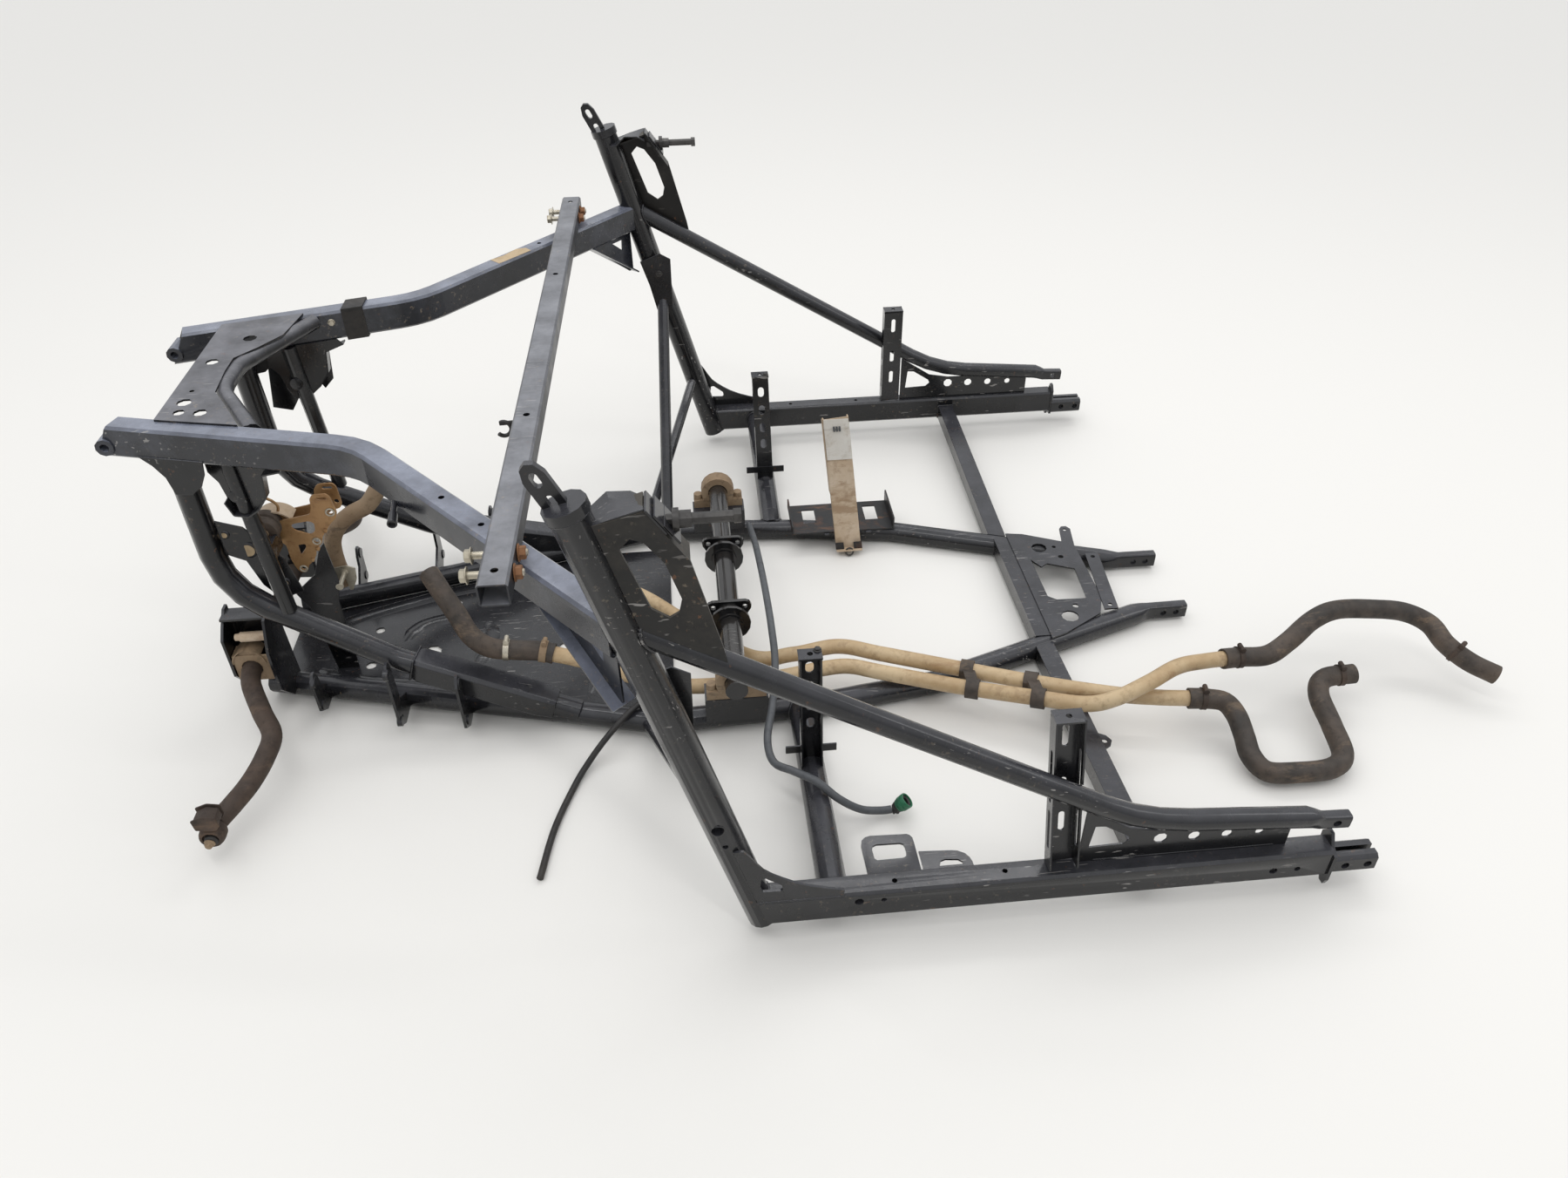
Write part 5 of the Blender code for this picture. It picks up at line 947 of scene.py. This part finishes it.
# ---------------- plated bracket by the right rear post
ZINC_FRONT = mm([(-718.2, 350), (-712.5, 359.2), (-703.1, 363.1), (-645.9, 373.6), (-640.3, 386.1),
                 (-638.9, 402.6), (-633.4, 408.4), (-613.3, 409.2), (-607.8, 403.2), (-604.1, 374.8),
                 (-607, 364.8), (-617.7, 355.4), (-630, 340), (-636.6, 330.2), (-640.3, 318.6),
                 (-651.4, 309.8), (-655, 296), (-662.9, 285.4), (-670.8, 278.4), (-675.9, 266.4),
                 (-685.5, 265.3), (-691.1, 273.9), (-695.3, 292.7), (-695.3, 319.9), (-709, 333),
                 (-718.3, 338.1)])
ZINC_REAR = mm([(-708, 356), (-683.1, 363), (-657.8, 367.6), (-646.8, 372.6), (-641.9, 396.9),
                (-635.1, 404.8), (-612.2, 405.4), (-607.3, 399.3), (-605.5, 366.6), (-610.3, 358.8),
                (-623.1, 356.2), (-641.1, 342.7), (-680.8, 339.7), (-708, 344)])
ZINC_TRIANGLE = mm([(-679.9, 354.3), (-675, 358.8), (-650.1, 362), (-642.6, 357.5), (-644.7, 342.8),
                    (-653.1, 336.3), (-675.6, 346.3)])
ZINC_LOWER = mm([(-678.3, 318.5), (-665.8, 320), (-666, 313), (-678, 298.9)])
ZINC_SLOT = mm([(-630, 401), (-627.5, 403.2), (-615, 403.2), (-612.2, 400.8), (-615, 398.4),
                (-627.5, 398.4)])
ZINC_Y = -0.128
ZINC_REAR_Y = -0.09
made("zinc_plate_front", ZINC, windowed,
     [eased(ZINC_FRONT, 0.003, 2), eased(ZINC_TRIANGLE, 0.004), eased(ZINC_LOWER, 0.003),
      eased(ZINC_SLOT, 0.002, 2), disc(-0.6138, 0.376, 0.0042), disc(-0.6471, 0.324, 0.0036),
      disc(-0.68, 0.2735, 0.0034)], 0.003, upright(ZINC_Y), bevel=0.0005, stands_for=("zinc_bracket",),
     slot_name="zinc")
made("zinc_plate_rear", ZINC, windowed,
     [eased(ZINC_REAR, 0.004, 2), eased([(u - 0.0004, v - 0.0035) for u, v in ZINC_SLOT], 0.002, 2),
      disc(-0.613, 0.372, 0.004)], 0.003, upright(ZINC_REAR_Y), bevel=0.0005, slot_name="zinc")
bm = bmesh.new()
for u, v, r in ((-0.6138, 0.376, 0.0062), (-0.6471, 0.324, 0.0054), (-0.68, 0.2735, 0.0052)):
    ring = [at(u + r * c, ZINC_Y - 0.0022, v + r * h) for c, h in circle(24)]
    pipe(bm, ring, 0.0015, 8, True)
add("zinc_swaged_rims", bm, STEEL)
bm = bmesh.new()
for u, v in ((-0.6325, 0.344), (-0.6655, 0.2905), (-0.652, 0.311)):
    lathe(bm, at(u, ZINC_Y - 0.0015, v), (0.55, 0, -0.3), mm([(0, 3), (3, 4.2), (6.5, 3)]), 14)
add("zinc_ears", bm, ZINC, bevel=0.0003)
bm = bmesh.new()
lathe(bm, at(-0.711, -0.1395, 0.347), (0, 1, 0),
      mm([(0, 4), (1, 5), (6, 5), (6.1, 3.8), (50, 3.8), (50.5, 6.2), (56, 6.2)]), 20)
lathe(bm, at(-0.711, -0.1345, 0.347), (0, 1, 0), [(0.0, 0.0072), (0.0048, 0.0072)], 6)
add("zinc_bolt", bm, CAST, bevel=0.0004)
bm = bmesh.new()
arch = [(cos(a), sin(a)) for a in (radians(28 + 9.5 * k) for k in range(15))]
sheet_of(bm, [at(-0.706 + 0.033 * c, -0.124, 0.349 + 0.03 * h) for c, h in arch],
         [at(-0.706 + 0.033 * c, -0.094, 0.349 + 0.03 * h) for c, h in arch], 0.0028, 2)
add("zinc_arch", bm, STRAP, smooth=60.0, bevel=0.0006)

# ---------------- ball joint at the anti-roll bar's right tip
PIVOT = Vector((-0.789, -0.4715, 0.048))


def by_pivot(x, y, z):
    return at(PIVOT.x + x, PIVOT.y + y, PIVOT.z + z)


def beside_pivot(y):
    return lambda u, v, w: by_pivot(u, y + w, v)


made("link_socket", RUST, lathe, by_pivot(0, 0.009, 0), (0, -1, 0),
     mm([(0, 12), (1.5, 16.5), (6, 18.6), (14, 19), (21, 18.2), (25.5, 16.5), (27, 15), (26.8, 11.8),
         (22.5, 11.2)]), 32, body="link", bevel=0.0004, stands_for=("end_link",), slot_name="rusty_steel")
made("link_boot", BUSH, lathe, by_pivot(0.001, -0.012, -0.001), (-0.05, -1, -0.12),
     mm([(0, 10), (6, 10.4), (9, 8)]), 28, body="link", bevel=0.0006)
made("link_stud", CAST, lathe, by_pivot(-0.0005, -0.018, -0.0025), (-0.1, -1, -0.14),
     mm([(0, 6), (2, 7.8), (4.5, 7.8), (6, 5.2), (10.5, 5), (11.2, 4)]), 20, body="link", bevel=0.0004)
hex_bolt("link_nut", by_pivot(-0.001, -0.0205, -0.0028), (-0.1, -1, -0.14), 0.0064, CAST, "link", 0.006)
made("link_pin", RUST, lathe, by_pivot(0, 0.0215, 0), (0, -1, 0), [(0.0, 0.0085), (0.016, 0.0085)], 24,
     body="bar", bevel=0.0003)
made("link_neck", RUST, lathe, by_pivot(0.001, -0.0045, 0.01), (0.1, -0.02, 1.0),
     mm([(0, 12.5), (8, 11.8), (14, 8.5), (18, 8), (22, 9.5)]), 24, body="link", bevel=0.0006)
bm = bmesh.new()
BLOCK = eased(mm([(-12, 24), (14, 21), (20, 30), (18.5, 44), (2, 48), (-14, 41)]), 0.002, 2)
plate(bm, BLOCK, 0.022, beside_pivot(-0.007))
for grow, rise, y in ((1.14, 0.004, 0.0055), (1.1, 0.003, -0.0195)):
    plate(bm, [(u * grow, v + (rise if v > 0.035 else 0.0)) for u, v in BLOCK], 0.0022, beside_pivot(y))
add("link_yoke", bm, RUST, "link", bevel=0.0006)

# ---------------- bosses on the lower rails' lugs
for word, side in SIDES:
    for k, (x, z_top, y_top, y_low) in enumerate(((-0.7, 0.082, 0.189, 0.187), (-0.56, 0.134, 0.246, 0.243),
                                                  (-0.45, 0.112, 0.254, 0.251))):
        bm = bmesh.new()
        for y, z, r in ((y_top, z_top, 0.01), (y_low, 0.03, 0.0085)):
            lathe(bm, at(x - 0.0042, side * y, z), (1, 0, 0),
                  [(0.0, r * 0.62), (0.0001, r), (0.0084, r), (0.0085, r * 0.62)], 24)
        add("lug_bosses_%s_%d" % (word, k), bm, BLACK, bevel=0.0005)

half_turn = [(cos(a), sin(a)) for a in (radians(10 * k) for k in range(19))]

# rear box: closing plate, bushed bolt and the saddle over the bar's bush
for word, side in SIDES:
    made("rear_box_back_" + word, BLACK, windowed,
         [eased(mm([(-827, 88), (-760, 84), (-760, 190), (-827, 192)]), 0.004),
          disc(-0.793, 0.134, 0.0085)], 0.0025, upright(0.115, side), bevel=0.0006)
    made("rear_box_spacer_" + word, STRAP, lathe, at(-0.815, side * 0.152, 0.16), (1, 0, 0),
         mm([(0, 5), (1, 6.2), (8.5, 6.2), (8.8, 8.5), (56.2, 8.5), (56.5, 6)]), 24, bevel=0.0004)
    made("bar_saddle_" + word, CAST, sheet_of,
         [at(-0.8 + 0.0262 * c, side * 0.136, 0.114 + 0.0262 * h) for c, h in half_turn],
         [at(-0.8 + 0.0262 * c, side * 0.167, 0.114 + 0.0262 * h) for c, h in half_turn], 0.0026 * side, 2,
         smooth=60.0, bevel=0.0006)

# ---------------- battery strap: side flange, pale cap, hooks and ring
STRAP_FOOT = Vector((0.258, 0.2005, 0.012))
LEANING = Vector((0.233, 0.25, 0.284)) - STRAP_FOOT


def on_strap(out):
    """Places a plate on the strap's near face: across it, and at a share of its height."""
    def place(u, v, w):
        p = STRAP_FOOT + LEANING * v
        return at(p.x + u, p.y - 0.0075 - (out + w), p.z + (out + w) * 0.2)
    return place


made("strap_flange", STRAP, plate, rect(-0.0262, 0.44, -0.0252, 0.985), 0.02, on_strap(-0.01), bevel=0.0003,
     slot_name="tan_casting")
made("strap_clean_stretch", PALE, plate, rect(-0.0246, 0.7, 0.0246, 0.93), 0.0006, on_strap(0.0009),
     slot_name="tan_casting")
made("strap_cap", PALE, plate, [(-0.0252, 0.93), (0.0252, 0.93), (0.024, 1.0), (-0.024, 1.0)], 0.0016,
     on_strap(0.0016), bevel=0.0004, slot_name="tan_casting")
bm = bmesh.new()
for across in (-0.0055, 0.0, 0.0055):
    plate(bm, eased(rect(across - 0.0018, 0.912, across + 0.0018, 0.948), 0.0012), 0.004, on_strap(0.003))
add("strap_clip", bm, LINE, bevel=0.0003)
bm = bmesh.new()
for across in (-0.0185, 0.0185):
    plate(bm, eased(rect(across - 0.0085, 0.006, across + 0.0085, 0.06), 0.002, 2), 0.0024, on_strap(0.004))
add("strap_hooks", bm, TRAY, bevel=0.0004)
bm = bmesh.new()
ring = [at(0.258 + 0.0075 * c, 0.185 + 0.002 * h, 0.0105 + 0.0075 * h) for c, h in circle(28)]
pipe(bm, ring, 0.0017, 10, True)
add("strap_ring", bm, DARK_STEEL)

# ---------------- floor and light
bm = bmesh.new()
bmesh.ops.create_grid(bm, x_segments=2, y_segments=2, size=14.0)
floor_mesh = bpy.data.meshes.new("floor")
bm.to_mesh(floor_mesh)
bm.free()
floor = placed("floor", floor_mesh)
floor.location = (0.0, 0.0, -0.0005)
ground = bpy.data.materials.new("pale_floor")
ground.use_nodes = True
set_inputs(ground.node_tree.nodes["Principled BSDF"],
           {"Base Color": (0.82, 0.8, 0.765, 1.0), "Roughness": 0.55})
floor_mesh.materials.append(ground)

world = bpy.data.worlds.new("studio")
bpy.context.scene.world = world
world.use_nodes = True
sky = world.node_tree
heading = sky.nodes.new("ShaderNodeTexCoord")
split = sky.nodes.new("ShaderNodeSeparateXYZ")
height = sky.nodes.new("ShaderNodeMapRange")
set_inputs(height, {"From Min": 0.0, "From Max": 0.8, "To Min": 0.46, "To Max": 1.16})
sky.links.new(heading.outputs["Generated"], split.inputs["Vector"])
sky.links.new(split.outputs["Z"], height.inputs["Value"])
sky.links.new(height.outputs["Result"], sky.nodes["Background"].inputs["Strength"])
sky.nodes["Background"].inputs["Color"].default_value = (0.97, 0.985, 1.0, 1.0)


def soft_light(name, place, target, size, power):
    data = bpy.data.lights.new(name, 'AREA')
    data.shape = 'RECTANGLE'
    data.size, data.size_y = size
    data.energy = power
    lamp = placed(name, data)
    lamp.location = place
    lamp.rotation_euler = (Vector(target) - Vector(place)).to_track_quat('-Z', 'Y').to_euler()


soft_light("key", (-0.9, -0.9, 3.2), (0.0, 0.0, 0.2), (3.4, 0.1), 15.0)
soft_light("top", (0.3, 1.7, 3.0), (0.0, 0.0, 0.2), (3.6, 0.16), 13.0)
soft_light("fill", (3.0, -0.6, 2.2), (0.2, 0.0, 0.2), (0.4, 1.6), 6.0)
